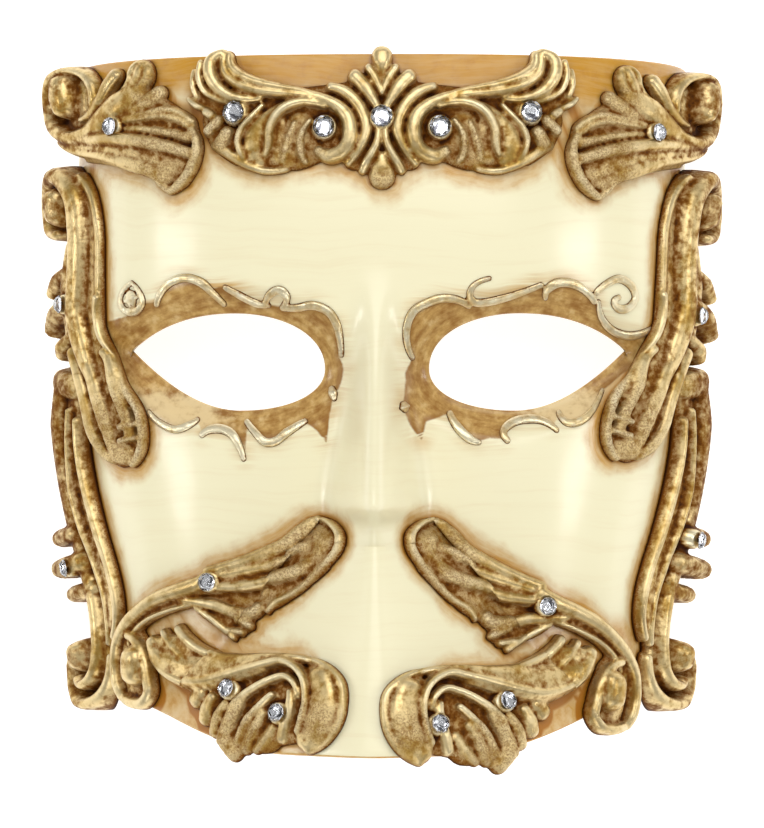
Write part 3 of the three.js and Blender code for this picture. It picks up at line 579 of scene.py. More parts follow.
TEMPLE_SCROLL = [
    ([(93.5, 18), (92.5, 40), (93.5, 54), (98.5, 61)], (7, 6.3, 6.3, 5.2), (2.6, 2.6, 2.6, 3)),
    ([(98, 19), (90.5, 10), (85, 0), (80.5, -9.5)], (8.5, 8.5, 8.5, 7), (2.8, 2.8, 2.8, 2.2)),
    ([(108, 60), (107, 56)], (6.6, 5.6), (3, 3)),
    ([(91, 8.5), (93, 14), (95, 20), (97, 28), (96, 38), (95.5, 52), (98, 63), (105.5, 68.5), (113, 66),
      (117, 59.5),
      (114.5, 53), (108.5, 51.5)], (2, 3, 3.4, 3.4, 3.1, 3, 3, 2.8, 2.6, 2.4, 2, 1.4),
     (4.6, 5.4, 5.8, 6, 6.2, 6.4, 6.6, 6.8, 6.8, 6.8, 6.4, 5.4)),
    ([(88, 30), (87.5, 40), (88, 52), (91.5, 62), (98, 68)], (1.2, 1.4, 1.4, 1.3, 1),
     (2.8, 2.8, 2.8, 3.2, 3.8)),
    ([(106.5, 62), (106.5, 57)], (3.6, 3.6), (7.4, 7)),
    ([(101, 41), (108, 38), (113, 34)], (1.6, 2.6, 1.8), (4, 5.5, 6)),
    ([(101, 31), (109, 28), (114.5, 23.5)], (2.4, 3, 2.4), (5, 6, 6.2)),
    ([(101, 22), (107, 18.5), (110, 16)], (1.6, 2.2, 1.6), (4, 5, 4.5)),
    ([(102, 22), (103.5, 36), (102, 48)], (2, 2.6, 1.6), (4, 4.6, 4)),
    ([(101, 17), (97, 9), (94.5, 1.5), (92.5, -6), (89, -11), (84, -14)], (1.8, 1.8, 1.8, 1.8, 1.8, 1.6),
     (4.4, 4.8, 4.8, 4.6, 4, 3.2)),
    ([(93, 15), (90.5, 10), (88, 3.5), (85, -4), (83.5, -10)], (1.6, 2.4, 2.6, 2.6, 2.2),
     (5.2, 5.4, 5.4, 5, 3.8)),
    ([(85.5, 17), (82, 10.5), (80, 5), (77, -1.5), (76, -7.5)], (1.5, 1.8, 1.8, 1.8, 1.6),
     (4.6, 5, 5, 4.8, 3.8)),
    ([(87, 32.5), (87, 24.5), (82.5, 15.5), (78.5, 7), (73, 0), (71.5, -6.5), (72.5, -12), (76, -15.5)],
     (1, 0.9, 0.8, 0.8, 0.9, 1, 1, 1), (4, 4, 4.2, 4.2, 4.2, 4, 3.8, 3)),
    ([(82, -12), (77.5, -13)], (3.4, 3), (3.6, 3.2)),
    ([(79, -5), (72.5, -4)], (0.7, 0.6), (4.8, 4.2)),
    ([(79.5, -9), (73, -8)], (0.7, 0.6), (4.2, 3.8)),
]
CHEEK_SCROLL = [
    ([(104, 5), (105, -8), (104.5, -20), (102, -31), (97.5, -42), (92.5, -53), (91, -62)],
     (4, 4.6, 5, 5, 5, 4.8, 3.6), (3, 3, 3, 3, 3.2, 3.4, 3.4)),
    ([(101, -70), (102, -78)], (8.5, 8.5), (3.6, 3.6)),
    ([(109, 8), (111.5, -4), (112, -18), (109.5, -31), (105.5, -42), (101, -52), (98.5, -61), (97.5, -69),
      (99, -77),
      (104, -80.5), (109, -79)], (3.4, 4.4, 4.6, 4, 3, 2.2, 1.9, 1.9, 1.8, 1.7, 1.4),
     (4.8, 5.6, 5.4, 5.2, 5, 5.2, 5.6, 6, 6.6, 7.2, 7)),
    ([(103, 0), (105, -13), (105, -23), (102, -34), (97.5, -44), (94, -54), (93, -62), (93, -68)],
     (0.8, 0.9, 1, 1, 1, 1, 1, 0.8), (4.4, 4.6, 4.8, 4.8, 4.6, 4.2, 4, 4)),
    ([(101, -3), (100.5, -14), (98, -25), (94, -37), (89.5, -46), (87, -53), (86.5, -60), (89.5, -66)],
     (1, 1, 1.1, 1.2, 1.2, 1.2, 1.2, 1.1), (3.8, 4, 4.2, 4.4, 4.4, 4.4, 4.2, 4)),
    ([(111, 8), (102, 7)], (4.4, 4), (5, 4.4)),
    ([(105, -70.5), (105, -73.5)], (3.7, 3.7), (8.6, 8.4)),
    ([(91, -72), (92, -79), (98, -84.5), (107.5, -86), (114, -81.5), (115.5, -75), (113, -69.5)],
     (1.3, 1.6, 1.9, 2, 2.1, 2, 1.7), (4.6, 5.4, 6.4, 7.4, 8, 8, 7)),
    ([(107, -35.5), (115.5, -36.5)], (2.8, 3.2), (6, 8)),
    ([(103, -44), (115, -45.5)], (3.2, 3.4), (6.6, 9)),
    ([(100, -52), (111, -53.5)], (2.6, 2.8), (5, 7)),
]
MOUSTACHE_LEAF = [
    ([(51.5, -50), (37, -47), (23, -42.5), (15, -37)], (2.6, 4.4, 5.4, 4), (4.2, 4.2, 3.2, 2.6)),
    ([(31, -51), (22, -48), (15, -42.5)], (2.6, 3, 3), (2.4, 2.2, 2.2)),
    ([(51.5, -57), (43.5, -60), (37, -60.5)], (1.2, 2.4, 2.7), (2, 2, 1.8)),
    ([(53, -52.5), (43, -54), (34, -54.5), (26, -52)], (2, 3.2, 3.6, 2.6), (2, 2, 2, 2)),
    ([(78, -71), (76.5, -77.5)], (8, 7.5), (2.8, 2.6)),
    ([(49, -46), (39, -43.5), (32, -41), (26.5, -38.5), (22, -35), (18.5, -32.5)], (1.4, 1.8, 2, 2, 2.2, 2),
     (4.8, 5.2, 5.4, 5.2, 4.6, 3.2)),
    ([(46, -47), (37.5, -45.5), (30.5, -44), (25.5, -42.5), (20.5, -40.5), (17.5, -39)],
     (1.1, 1.6, 1.6, 1.3, 1.2, 1),
     (4.8, 5.2, 5.4, 5.2, 4.6, 3.6)),
    ([(46.5, -50), (38.5, -50), (31.5, -49), (25, -48), (20, -46), (18, -43.5)],
     (1.3, 1.7, 1.8, 1.7, 1.5, 1.1),
     (5, 5.2, 5.2, 5, 4.4, 3.2)),
    ([(17, -31), (11, -33), (9, -35.5), (9.5, -39), (12, -42.5), (15, -45.5), (19, -49.5), (23, -52.5),
      (28, -55),
      (30, -57.5)], (0.9, 0.9, 0.8, 0.7, 0.6, 0.5, 0.5, 0.5, 0.5, 0.4),
     (3.2, 3.4, 3.2, 3, 2.8, 2.6, 2.6, 2.6, 2.4, 2.2)),
    ([(15, -37), (15.5, -41)], (1.8, 1.5), (3.2, 3)),
    ([(58, -54), (52.5, -54.5), (46, -55.5), (40, -57.5), (34.5, -58), (32.5, -56.5)],
     (0.7, 1.3, 1.6, 1.6, 1.5, 1.3),
     (3.8, 4.2, 4.2, 4, 3.8, 3.6)),
    ([(52.5, -56.5), (48, -59), (44.5, -61.5), (40, -65)], (0.6, 0.8, 0.8, 0.7), (3.2, 3.4, 3.2, 2.4)),
    ([(39.5, -59.5), (35, -61.5)], (0.8, 0.9), (3.4, 3.2)),
    ([(43, -62.5), (37.5, -63.5)], (0.7, 0.7), (3, 2.8)),
    ([(48.5, -48), (53, -50), (60, -52), (67.5, -54.5), (75, -58.5), (81.5, -63), (86, -68), (87.5, -74),
      (86.5, -79.5),
      (83.5, -83)], (2.2, 2.3, 2.1, 2, 2, 1.9, 1.8, 1.6, 1.6, 1.4),
     (5.8, 5.6, 5.4, 5.2, 5, 5, 5, 5, 4.8, 4.2)),
    ([(51.5, -54), (61, -55.5), (69.5, -57.5), (76, -61), (80, -65), (82, -69)], (1, 1.1, 1.2, 1.5, 1.8, 1.8),
     (2.8, 2.8, 2.8, 2.8, 2.8, 2.8)),
    ([(54, -55.5), (62.5, -57.5), (71, -60.5), (76.5, -64), (79.5, -67.5)], (0.5, 0.5, 0.7, 0.8, 0.8),
     (3.6, 3.6, 3.6, 3.6, 3.4)),
    ([(74.5, -71.5), (74.5, -75.5)], (4.1, 4.1), (7.8, 7.6)),
    ([(79, -65), (73.5, -67.5), (70.5, -72), (69, -77.5), (68.5, -81), (71.5, -84), (77, -84.5), (82, -83.5)],
     (1.2, 1.3, 1.5, 1.6, 1.6, 1.6, 1.4, 1.2), (4.6, 5, 5, 5, 4.8, 4.6, 4.4, 4.2)),
]
CHIN_LEAF = [
    ([(66, -70.5), (54, -74), (36.5, -76.5), (22, -78), (15, -80.5)], (3, 5.2, 6, 7, 6),
     (2.4, 2.6, 2.6, 2.4, 2.2)),
    ([(65.5, -67.5), (60, -68), (53, -70)], (2.6, 3.8, 4), (4, 4.2, 4.4)),
    ([(44, -85), (37, -91)], (4.5, 5), (2.2, 2)),
    ([(30, -84), (29, -90)], (6, 5.5), (2.4, 2.2)),
    ([(22, -83), (22, -89.5)], (3.4, 3), (2.4, 2.2)),
    ([(14, -74), (12, -80), (14.5, -88)], (4, 4.6, 3.6), (3.2, 3.4, 3)),
    ([(66, -70), (60, -73), (50, -75), (40, -74), (30, -72)], (3, 4.2, 5.4, 4.6, 3),
     (4.6, 5.4, 5.8, 5.8, 5.4)),
    ([(66, -71), (60, -75.5), (50, -78), (42, -76.5), (34, -74), (27.5, -72), (23.5, -71), (20, -72),
      (17.5, -74.5), (16.5, -77.5), (16.5, -81.5), (17.5, -85.5), (19, -89.5)],
     (1.2, 1.2, 1.3, 1.3, 1.2, 1.1, 1, 0.9, 0.8, 0.8, 0.7, 0.7, 0.6),
     (5, 5.8, 6.2, 6.2, 6.2, 6.2, 6.2, 6.2, 6, 5.8, 5.4, 5, 4.2)),
    ([(68, -66.5), (65.5, -70), (61.5, -73), (56, -74.5)], (1.8, 2.2, 2.2, 1.7), (4.6, 5.2, 5.4, 5.4)),
    ([(63.5, -63.5), (59.5, -67.5), (54.5, -71)], (0.9, 0.9, 0.8), (4, 4.8, 5)),
    ([(58, -62.5), (54.5, -65.5), (49, -68.5), (39.5, -71), (30, -70), (22, -69.5), (17, -70)],
     (1.3, 1.3, 1.2, 0.9, 0.7, 0.6, 0.7), (4.2, 4.8, 5.2, 5, 4.8, 4.4, 4)),
    ([(38, -84.5), (35.5, -82), (31.5, -79), (26, -76), (22, -75), (19.5, -77), (19, -80)],
     (0.8, 0.9, 0.9, 0.9, 0.9, 0.8, 0.6), (4.8, 5.2, 5.4, 5.4, 5.4, 5.2, 4.4)),
    ([(34, -80.5), (35.5, -83), (38, -87), (41, -93)], (0.9, 1.5, 1.9, 1.8), (4.8, 5, 4.6, 3.2)),
    ([(26, -80), (29, -83), (33, -87.5), (36, -93)], (0.7, 0.8, 1, 1.1), (4.8, 5, 4.6, 3.2)),
    ([(28.5, -85), (31.5, -90), (34, -95)], (0.8, 1.2, 1.2), (4.2, 4, 2.8)),
    ([(21, -79), (21, -83), (22.5, -88), (23.5, -91.5)], (0.8, 1.2, 1.4, 1.3), (4.6, 4.8, 4.4, 3.4)),
    ([(25.5, -87.5), (28, -91.5), (31, -95)], (0.9, 1.1, 0.9), (3, 3, 2.4)),
    ([(39.5, -83), (42.5, -87), (44, -91)], (1.1, 1.4, 1.4), (4.2, 4, 2.8)),
    ([(44.5, -81.5), (46.5, -85), (47.5, -87.5)], (1.2, 1.9, 1.8), (4, 3.8, 2.8)),
    ([(48.5, -80), (51, -82.5)], (2.2, 2.2), (4, 3)),
    ([(40, -93), (37.5, -96)], (2.5, 2.3), (3.6, 2.8)),
    ([(13, -74.5), (12, -81), (13.5, -87), (16.5, -91.5)], (3.2, 3.8, 3.6, 3), (4.8, 5.2, 5, 3.8)),
    ([(15.5, -70), (11, -72), (8, -75.5), (7.5, -81), (8.5, -86), (12, -91.5), (16.5, -94.5)],
     (0.6, 0.7, 0.7, 0.7, 0.7, 0.7, 0.6), (3.2, 3.4, 3.4, 3.4, 3.2, 3, 2.6)),
]

# Crystals: girth, y, height of the foot over the shell, radius, and a right-hand one's own girth and y
LARGE_CRYSTAL = 3.1
SMALL_CRYSTAL = 2.6
CREST_CRYSTALS = {
    "crystal_brow_inner": (16.5, 79, 3.6, LARGE_CRYSTAL),
    "crystal_brow_outer": (42.5, 83.5, 3.4, LARGE_CRYSTAL),
}
CENTRE_CRYSTAL = (0, 81.7, 4.5, LARGE_CRYSTAL)

# The side castings: ridges, crystals, the right-hand twin's own place, and spots with a coarse skin
SIDE_CASTINGS = {
    "brow_corner_leaf": (
        CORNER_LEAF, {"crystal_corner": (79, 81, 4.8, SMALL_CRYSTAL)}, {"shift": (4.5, -1.7)},
        ((60, 72, 18), (66, 88, 12)),
    ),
    "temple_scroll": (
        TEMPLE_SCROLL, {"crystal_temple": (101.5, 30.8, 5, SMALL_CRYSTAL, (101.5, 28))},
        {"pivot": (95, 32), "turn": -5, "shift": (1, 0)}, ((78, -6, 20), (112, 24, 8)),
    ),
    "cheek_scroll": (
        CHEEK_SCROLL, {"crystal_cheek": (106, -45, 6.6, SMALL_CRYSTAL, (106, -36.5))}, {},
        ((106, 6, 9), (113, -47, 9)),
    ),
    "moustache_leaf": (
        MOUSTACHE_LEAF, {"crystal_moustache": (47.8, -48.8, 5.2, SMALL_CRYSTAL, (50, -51.4))},
        {"pivot": (12, -35), "turn": -6.5}, ((20, -42, 17), (36, -58, 9)),
    ),
    "chin_leaf": (
        CHIN_LEAF,
        {"crystal_chin_outer": (38.5, -79.5, 4.6, SMALL_CRYSTAL),
         "crystal_chin_inner": (24, -85, 4, SMALL_CRYSTAL, (20.5, -84.5))},
        {"shift": (-5, -2.8)}, ((36, -90, 13), (14, -86, 9)),
    ),
}
CREST_COARSE = ((46, 78, 9), (24, 74, 12), (-46, 78, 9), (-24, 74, 12), (0, 64, 5))

# The painted surround of each eye hole: its outline in girth and y. These places, and those of the raised
# lines below, were picked in the photo and turned into millimetres by a separate script.
EYE_SURROUNDS = {
    "left": [(95.2, 24.1), (82.7, 25.8), (76, 27.1), (69.3, 30.5), (65.3, 30.7), (62.6, 34.3), (59.1, 36.2),
             (54.7, 36.9), (50, 35.6), (47, 34.1), (43.4, 34.8), (38.9, 32.6), (34.1, 30.2), (26.2, 28.9),
             (22.3, 28.9), (17.9, 29.4), (13.6, 27.7), (11.3, 24.3), (10.4, 20), (11, 15.1), (9.7, 12.2),
             (10.6, 7.3), (13, 3.4), (14.1, -2), (15.1, -9.3), (18, -5.9), (21.6, -3.4), (25.2, -5.6),
             (30.4, -8.8), (33.5, -8.8), (36.6, -6.4), (38.9, -4), (39.8, -13.2), (41.9, -8.4), (44.5, -5.9),
             (49.8, -5.7), (53, -6.7), (54.5, -3), (57.3, -4.5), (61.8, -5.4), (66.9, -3.7), (72.2, -0.5),
             (78.4, 3.5), (84.9, 12.5)],
    "right": [(95, 22), (88.9, 21.5), (82.2, 21.6), (76.5, 21.3), (70.5, 22.7), (66.5, 26.1), (63.8, 30.9),
              (59.7, 34), (55.2, 35.4), (51, 35.1), (48.4, 33.7), (45.8, 34.8), (40.8, 32.9), (35.9, 31.4),
              (31, 30.6), (26.1, 30.4), (22.7, 31.1), (18.3, 31.3), (14, 29.8), (10.6, 27.7), (9, 23.8),
              (8.8, 19), (10.4, 14.6), (8.6, 10.2), (8.5, 5.3), (8, 0.4), (9.8, -4), (13.4, -8.6),
              (14.8, -3.4), (21.5, -1.3), (24.1, -4.9), (27.8, -8.1), (30.4, -9.1), (34, -8.1), (38.1, -8.6),
              (38.1, -5.9), (40.7, -3.7), (44.3, -2.8), (49.6, -3), (53.4, -4.5), (54.9, -1), (57.2, -3.5),
              (61.1, -3.2), (65, -1), (68.7, 5.4), (75.8, 10.4), (84, 14)],
}

# Raised lines on those surrounds: half width, height and path
EYE_LINES = {
    "left": [
        (1.05, 1.1, [(65.1, 30.2), (62.6, 34.2), (59.1, 36.6), (54.7, 37.3), (50, 35.9), (47, 33.2),
      (43.8, 30)]),
        (0.75, 0.9, [(43.1, 34.6), (38.9, 32.4), (34.1, 30.1), (30.6, 29.5)]),
        (0.95, 1.0, [(31.6, 30.2), (29.8, 32.8), (27.1, 33.7), (25.2, 31.6), (26.2, 29.7)]),
        (0.95, 1.0, [(26.7, 28.9), (22.3, 28.8), (17.9, 29.4), (13.6, 27.7), (11.3, 24.3), (10.4, 20),
      (10.2, 15.4)]),
        (0.9, 1.0, [(70.7, -0.8), (66.9, -3.9), (61.8, -5.7), (57.3, -4.6), (54.5, -2.9)]),
        (1.05, 1.1, [(53, -7.2), (50.8, -5.9), (47.1, -5.7), (43.7, -7.1), (41.4, -10.3), (40, -14)]),
        (1.0, 1.1, [(39.2, -3.7), (36.6, -6.6), (33.5, -9.3), (30.4, -9.1), (27.3, -6.9), (23.7, -4.7),
      (21.4, -3.4)]),
        (1.1, 1.1, [(13.2, 5.8), (12.6, 3.1)]),
        (0.8, 1.0, [(74.1, 36.3), (78.1, 33.6), (79.1, 30.7), (76.6, 28.3), (72.6, 28.2), (69.9, 30.8),
                    (71.6, 34.2), (73.9, 36.2)]),
        (3.1, 1.2, [(74.6, 32.2), (74.3, 30.9)]),
    ],
    "right": [
        (1.05, 1.1, [(63.5, 30.9), (59.7, 34.2), (55.2, 35.9), (51, 35.6), (48.4, 33.6), (48.3, 31.7)]),
        (0.8, 0.9, [(46.8, 35.2), (40.8, 33), (35.9, 31.5), (31, 30.4), (27.6, 30.4), (26.3, 32.1),
      (27.2, 34.7),
                     (31.8, 36.9)]),
        (1.0, 1.0, [(26.1, 29.4), (22.7, 31), (18.3, 31.3), (14, 29.8), (10.6, 27.7), (8.8, 23.8), (8.7, 19),
                     (10.4, 14.6)]),
        (1.05, 1.1, [(64.2, 33.4), (67.7, 35.9), (72.1, 37.3), (76.9, 35.1), (78.3, 31.9), (75.7, 29.1),
                     (71.9, 28.9), (70.1, 30.8), (72.1, 32)]),
        (0.95, 1.0, [(65, 30.5), (66.6, 26.1), (70.5, 22.8), (76.5, 21.3), (82.2, 22), (87.8, 24.2)]),
        (1.05, 1.1, [(21.8, -1.3), (24.1, -5), (27.8, -8.3), (30.6, -9.3)]),
        (1.05, 1.1, [(39.2, -8.8), (38, -6.4), (40.4, -4), (44.3, -2.9), (49.6, -3.2), (54.3, -5.9)]),
        (0.95, 1.0, [(54.9, -1), (57.2, -3.6), (61.1, -3.6), (65, -1), (68.7, 5.4)]),
        (1.25, 1.1, [(8, 1.3), (8.5, -0.1)]),
    ],
}


# Net of the shell, as in the solid but finer: columns by girth, rows by y, rings round each eye hole
NET_FINENESS = 7
SIDE_COLUMNS = [0, 2.8, 6, 10, 22, 34, 47, 60, 71, 83, 92, 102, 114, RIM_GIRTH]
NET_ROWS = [TOP_EDGE, 68, 36, 27, 18, 9, 0, -8, -16, -22, -27, -32, -38, -50, -65, -80, BOTTOM_EDGE]
PATCH_COLUMNS = (10, 83)
PATCH_ROWS = (36, -8)
EYE_CORNER_ROW = 9
EYE_RINGS = 16
EYE_EDGE_STEPS = (1.2, 0.7, 0.42, 0.2, 0.05, 0.0)
WALL_STRAIGHTENS_OVER = (0, 8)


def finer(stops, times):
    parts = [np.linspace(a, b, times, endpoint=False) for a, b in zip(stops[:-1], stops[1:])]
    return np.round(np.concatenate(parts + [[stops[-1]]]), 6)


def row_height(y, girth):
    """Rows below the cheeks follow the lower edge, which rises towards the side rims."""
    edge = BOTTOM_EDGE + BOTTOM_RISE * soft_step(*BOTTOM_RISES_OVER, np.abs(girth))
    lower = SHAPED_BELOW + (y - SHAPED_BELOW) * (edge - SHAPED_BELOW) / (BOTTOM_EDGE - SHAPED_BELOW)
    return np.where(y > SHAPED_BELOW, y, lower)


def shell_skin(rounding):
    """Corners and faces of the shell's outer face, and how far each corner drops to round the eye holes."""
    columns = finer([-value for value in SIDE_COLUMNS[:0:-1]] + SIDE_COLUMNS, NET_FINENESS)
    rows = finer(NET_ROWS, NET_FINENESS)
    girths, heights = np.meshgrid(columns, rows)
    angles = angle_at(girths)
    heights = row_height(heights, girths)
    grid = np.arange(angles.size).reshape(angles.shape)
    angles, heights = list(angles.ravel()), list(heights.ravel())
    drops = [0.0] * len(angles)
    first, last = (int(np.argmin(np.abs(rows - y))) for y in PATCH_ROWS)
    middle = int(np.argmin(np.abs(rows - EYE_CORNER_ROW)))
    faces = []
    for i in range(len(rows) - 1):
        for j in range(len(columns) - 1):
            centre = abs(columns[j] + columns[j + 1]) / 2
            if not (first <= i < last and PATCH_COLUMNS[0] < centre < PATCH_COLUMNS[1]):
                faces.append((grid[i, j], grid[i + 1, j], grid[i + 1, j + 1], grid[i, j + 1]))
    for side in (-1, 1):
        outer, inner = (int(np.argmin(np.abs(columns - side * girth))) for girth in reversed(PATCH_COLUMNS))
        step = 1 if inner > outer else -1
        ring = [grid[i, outer] for i in range(middle, first, -1)]
        ring += [grid[first, j] for j in range(outer, inner, step)]
        ring += [grid[i, inner] for i in range(first, last)]
        ring += [grid[last, j] for j in range(inner, outer, -step)]
        ring += [grid[i, outer] for i in range(last, middle, -1)]
        hole = eye_outline(len(ring))
        hole_angles = angle_at_width(side * hole[:, 0], hole[:, 1])
        frame_angles = np.array([angles[i] for i in ring])
        frame_heights = np.array([heights[i] for i in ring])
        frame_points = surface_at(frame_angles, frame_heights)
        span = np.linalg.norm(frame_points - surface_at(hole_angles, hole[:, 1]), axis=1)
        previous = ring
        for k in range(1, EYE_RINGS + len(EYE_EDGE_STEPS)):
            away = EYE_EDGE_STEPS[max(k - EYE_RINGS, 0)]
            part = (1 - away / span) * min(k / EYE_RINGS, 1)
            start = len(angles)
            drops += [rounding - math.sqrt(rounding**2 - max(rounding - away, 0) ** 2)] * len(ring)
            angles += list(frame_angles + (hole_angles - frame_angles) * part)
            heights += list(frame_heights + (hole[:, 1] - frame_heights) * part)
            following = list(range(start, len(angles)))
            for a in range(len(ring)):
                b = (a + 1) % len(ring)
                face = (previous[a], previous[b], following[b], following[a])
                faces.append(face if side > 0 else face[::-1])
            previous = following
    return surface_at(np.array(angles), np.array(heights)), faces, np.array(drops)


def inside(outline, places):
    """Whether each place lies inside a closed outline."""
    start = np.array(outline, float)
    end = np.roll(start, -1, axis=0)
    x, y = places[:, :1], places[:, 1:]
    crosses = (start[:, 1] > y) != (end[:, 1] > y)
    rise = np.where(end[:, 1] == start[:, 1], 1, end[:, 1] - start[:, 1])
    crossing_x = start[:, 0] + (y - start[:, 1]) / rise * (end[:, 0] - start[:, 0])
    return (crosses & (x < crossing_x)).sum(axis=1) % 2 == 1


def surround_distance(points):
    """Distance from each point of the shell to the edge of its eye's painted surround, below 0 inside it."""
    angle = angle_at_width(points[:, 0], points[:, 1])
    places = np.stack([np.interp(np.abs(angle), TABLE_ANGLES, TABLE_GIRTHS), points[:, 1]], axis=1)
    distance = np.empty(len(points))
    for side, hand in HANDS:
        own = points[:, 0] * side >= 0
        away = distance_to(EYE_SURROUNDS[hand], places[own])
        distance[own] = np.where(inside(EYE_SURROUNDS[hand], places[own]), -away, away)
    return distance


def nearest_casting(points):
    """Distance from each point to the foot of the nearest casting, in millimetres."""
    feet = [corners(piece)[np.array([item.value < 1 for item in piece.data.attributes["rise"].data])]
            for piece in bpy.data.objects if piece.name.endswith("_carved")]
    feet = np.concatenate(feet)[::3]
    tree = kdtree.KDTree(len(feet))
    for i, foot in enumerate(feet):
        tree.insert(foot, i)
    tree.balance()
    return np.array([tree.find(point)[2] for point in points]) / MM


# Shader helpers
def feed(tree, socket, value):
    """Sets a socket to a value, or links it to another node's output."""
    if isinstance(value, bpy.types.NodeSocket):
        tree.links.new(value, socket)
    else:
        socket.default_value = value


def put(tree, kind, inputs=None, **settings):
    """Adds a shader node. inputs holds values or other nodes' outputs by socket name or place."""
    item = tree.nodes.new(kind)
    for key, value in settings.items():
        setattr(item, key, value)
    for key, value in (inputs or {}).items():
        feed(tree, item.inputs[key], value)
    return item


def math_node(tree, operation, *values):
    return put(tree, "ShaderNodeMath", dict(enumerate(values)), operation=operation).outputs[0]


def times(tree, one, other):
    return math_node(tree, "MULTIPLY", one, other)


def largest(tree, first, *others):
    for value in others:
        first = math_node(tree, "MAXIMUM", first, value)
    return first


def stirred(tree, value, pattern, amount):
    """A value moved up and down by a noise pattern."""
    return math_node(tree, "MULTIPLY_ADD", math_node(tree, "SUBTRACT", pattern, 0.5), amount, value)


def rise_between(tree, value, low, high, bottom=0.0, top=1.0):
    """A smooth rise from bottom to top as value goes from low to high."""
    return put(tree, "ShaderNodeMapRange", {"Value": value, "From Min": low, "From Max": high,
                                            "To Min": bottom, "To Max": top},
               interpolation_type="SMOOTHSTEP").outputs["Result"]


def mixed(tree, factor, one, other):
    return put(tree, "ShaderNodeMix", {0: factor, 6: one, 7: other}, data_type="RGBA").outputs[2]


def noise(tree, scale, detail=3.0, roughness=0.5, vector=None):
    inputs = {"Scale": scale, "Detail": detail, "Roughness": roughness}
    if vector is not None:
        inputs["Vector"] = vector
    return put(tree, "ShaderNodeTexNoise", inputs).outputs["Fac"]


def object_place(tree):
    return put(tree, "ShaderNodeTexCoord").outputs["Object"]


def stored(tree, name):
    return put(tree, "ShaderNodeAttribute", attribute_name=name).outputs["Fac"]


def new_group(name, inputs, outputs):
    """A shader node group with named number sockets. Returns its tree, its inputs and its output node."""
    tree = bpy.data.node_groups.new(name, "ShaderNodeTree")
    for label, value in inputs.items():
        socket = tree.interface.new_socket(label, in_out="INPUT", socket_type="NodeSocketFloat")
        socket.default_value = value
    for label in outputs:
        tree.interface.new_socket(label, in_out="OUTPUT", socket_type="NodeSocketFloat")
    return tree, tree.nodes.new("NodeGroupInput").outputs, tree.nodes.new("NodeGroupOutput")


def give(tree, output_node, label, value):
    tree.links.new(value, output_node.inputs[label])


def use_group(tree, name, inputs):
    return put(tree, "ShaderNodeGroup", inputs, node_tree=bpy.data.node_groups[name]).outputs


def build_brush_streaks():
    """Strokes of a dry brush across the face: long along X, fine along Y."""
    tree, given, out = new_group("brush_streaks", {"Length": 30.0, "Fineness": 700.0}, ["Streaks"])
    wander = noise(tree, 25.0, 2.0, vector=object_place(tree))
    parts = put(tree, "ShaderNodeSeparateXYZ", {0: object_place(tree)}).outputs
    bent = math_node(tree, "MULTIPLY_ADD", wander, 0.012, parts["Y"])
    stretched = put(tree, "ShaderNodeCombineXYZ", {
        "X": times(tree, parts["X"], given["Length"]),
        "Y": times(tree, bent, given["Fineness"]),
        "Z": times(tree, parts["Z"], given["Length"]),
    }).outputs[0]
    give(tree, out, "Streaks", noise(tree, 1.0, 4.0, 0.65, stretched))


def build_contour_streaks():
    """Fine lines of a brush led along an edge. Away is the distance from that edge, in millimetres."""
    inputs = {"Away": 0.0, "Fineness": 1.2, "Length": 40.0}
    tree, given, out = new_group("contour_streaks", inputs, ["Streaks"])
    parts = put(tree, "ShaderNodeSeparateXYZ", {0: object_place(tree)}).outputs
    led = put(tree, "ShaderNodeCombineXYZ", {
        "X": times(tree, given["Away"], given["Fineness"]),
        "Y": times(tree, parts["X"], given["Length"]),
        "Z": times(tree, parts["Y"], given["Length"]),
    }).outputs[0]
    give(tree, out, "Streaks", noise(tree, 1.0, 3.0, 0.6, led))


def build_patina_and_shade():
    """Where the brown wash stayed: in hollows and in the grain of coarse spots. Low on the casting it is
    brown wash with painted contact shade, and the hollow input also carries painted shade on the side walls.
    """
    tree, given, out = new_group("patina_and_shade", {"Hollow_and_wall_shade": 0.0, "Coarse": 0.0, "Rise": 4.0, "Amount": 0.0},
                                 ["Brown", "Deep", "Gold", "Height"])
    place = object_place(tree)
    broad = noise(tree, 90.0, 2.0, vector=place)
    middle = noise(tree, 420.0, 3.0, 0.6, place)
    fine = noise(tree, 1700.0, 3.0, 0.7, place)
    deep = stirred(tree, given["Hollow_and_wall_shade"], middle, 1.0)
    deep = math_node(tree, "ADD", deep, given["Amount"])
    grooves = rise_between(tree, deep, -0.15, 0.32)
    low = stirred(tree, given["Rise"], fine, 3.0)
    low = stirred(tree, low, middle, 3.0)
    # Brown low on the casting: wash that gathered there, with painted contact shade where the casting meets
    # the shell
    foot = rise_between(tree, low, 0.9, 2.4, 1.0, 0.0)
    speck = math_node(tree, "MULTIPLY_ADD", given["Coarse"], 0.12, fine)
    specks = rise_between(tree, speck, 0.52, 0.75)
    specks = times(tree, specks, math_node(tree, "MULTIPLY_ADD", given["Coarse"], 0.5, 0.15))
    brown = largest(tree, grooves, foot, specks)
    give(tree, out, "Brown", brown)
    # Deepest brown at the very foot: painted contact shade
    lowest = rise_between(tree, given["Rise"], 0.5, 1.4, 1.0, 0.0)
    give(tree, out, "Deep", largest(tree, rise_between(tree, deep, 0.12, 0.6), lowest))
    warm = stirred(tree, broad, middle, 0.8)
    give(tree, out, "Gold", rise_between(tree, warm, 0.35, 0.7))
    grit = math_node(tree, "MULTIPLY_ADD", given["Coarse"], 1.6, 0.5)
    give(tree, out, "Height", times(tree, fine, grit))


def new_material(name, settings=None):
    """A material, its shader tree and the inputs of its surface, some of them set."""
    material = bpy.data.materials.new(name)
    material.use_nodes = True
    tree = material.node_tree
    shader = tree.nodes["Principled BSDF"].inputs
    for label, value in (settings or {}).items():
        shader[label].default_value = value
    return material, tree, shader


def bump(tree, height, distance, strength=1.0):
    inputs = {"Height": height, "Distance": distance, "Strength": strength}
    return put(tree, "ShaderNodeBump", inputs).outputs[0]


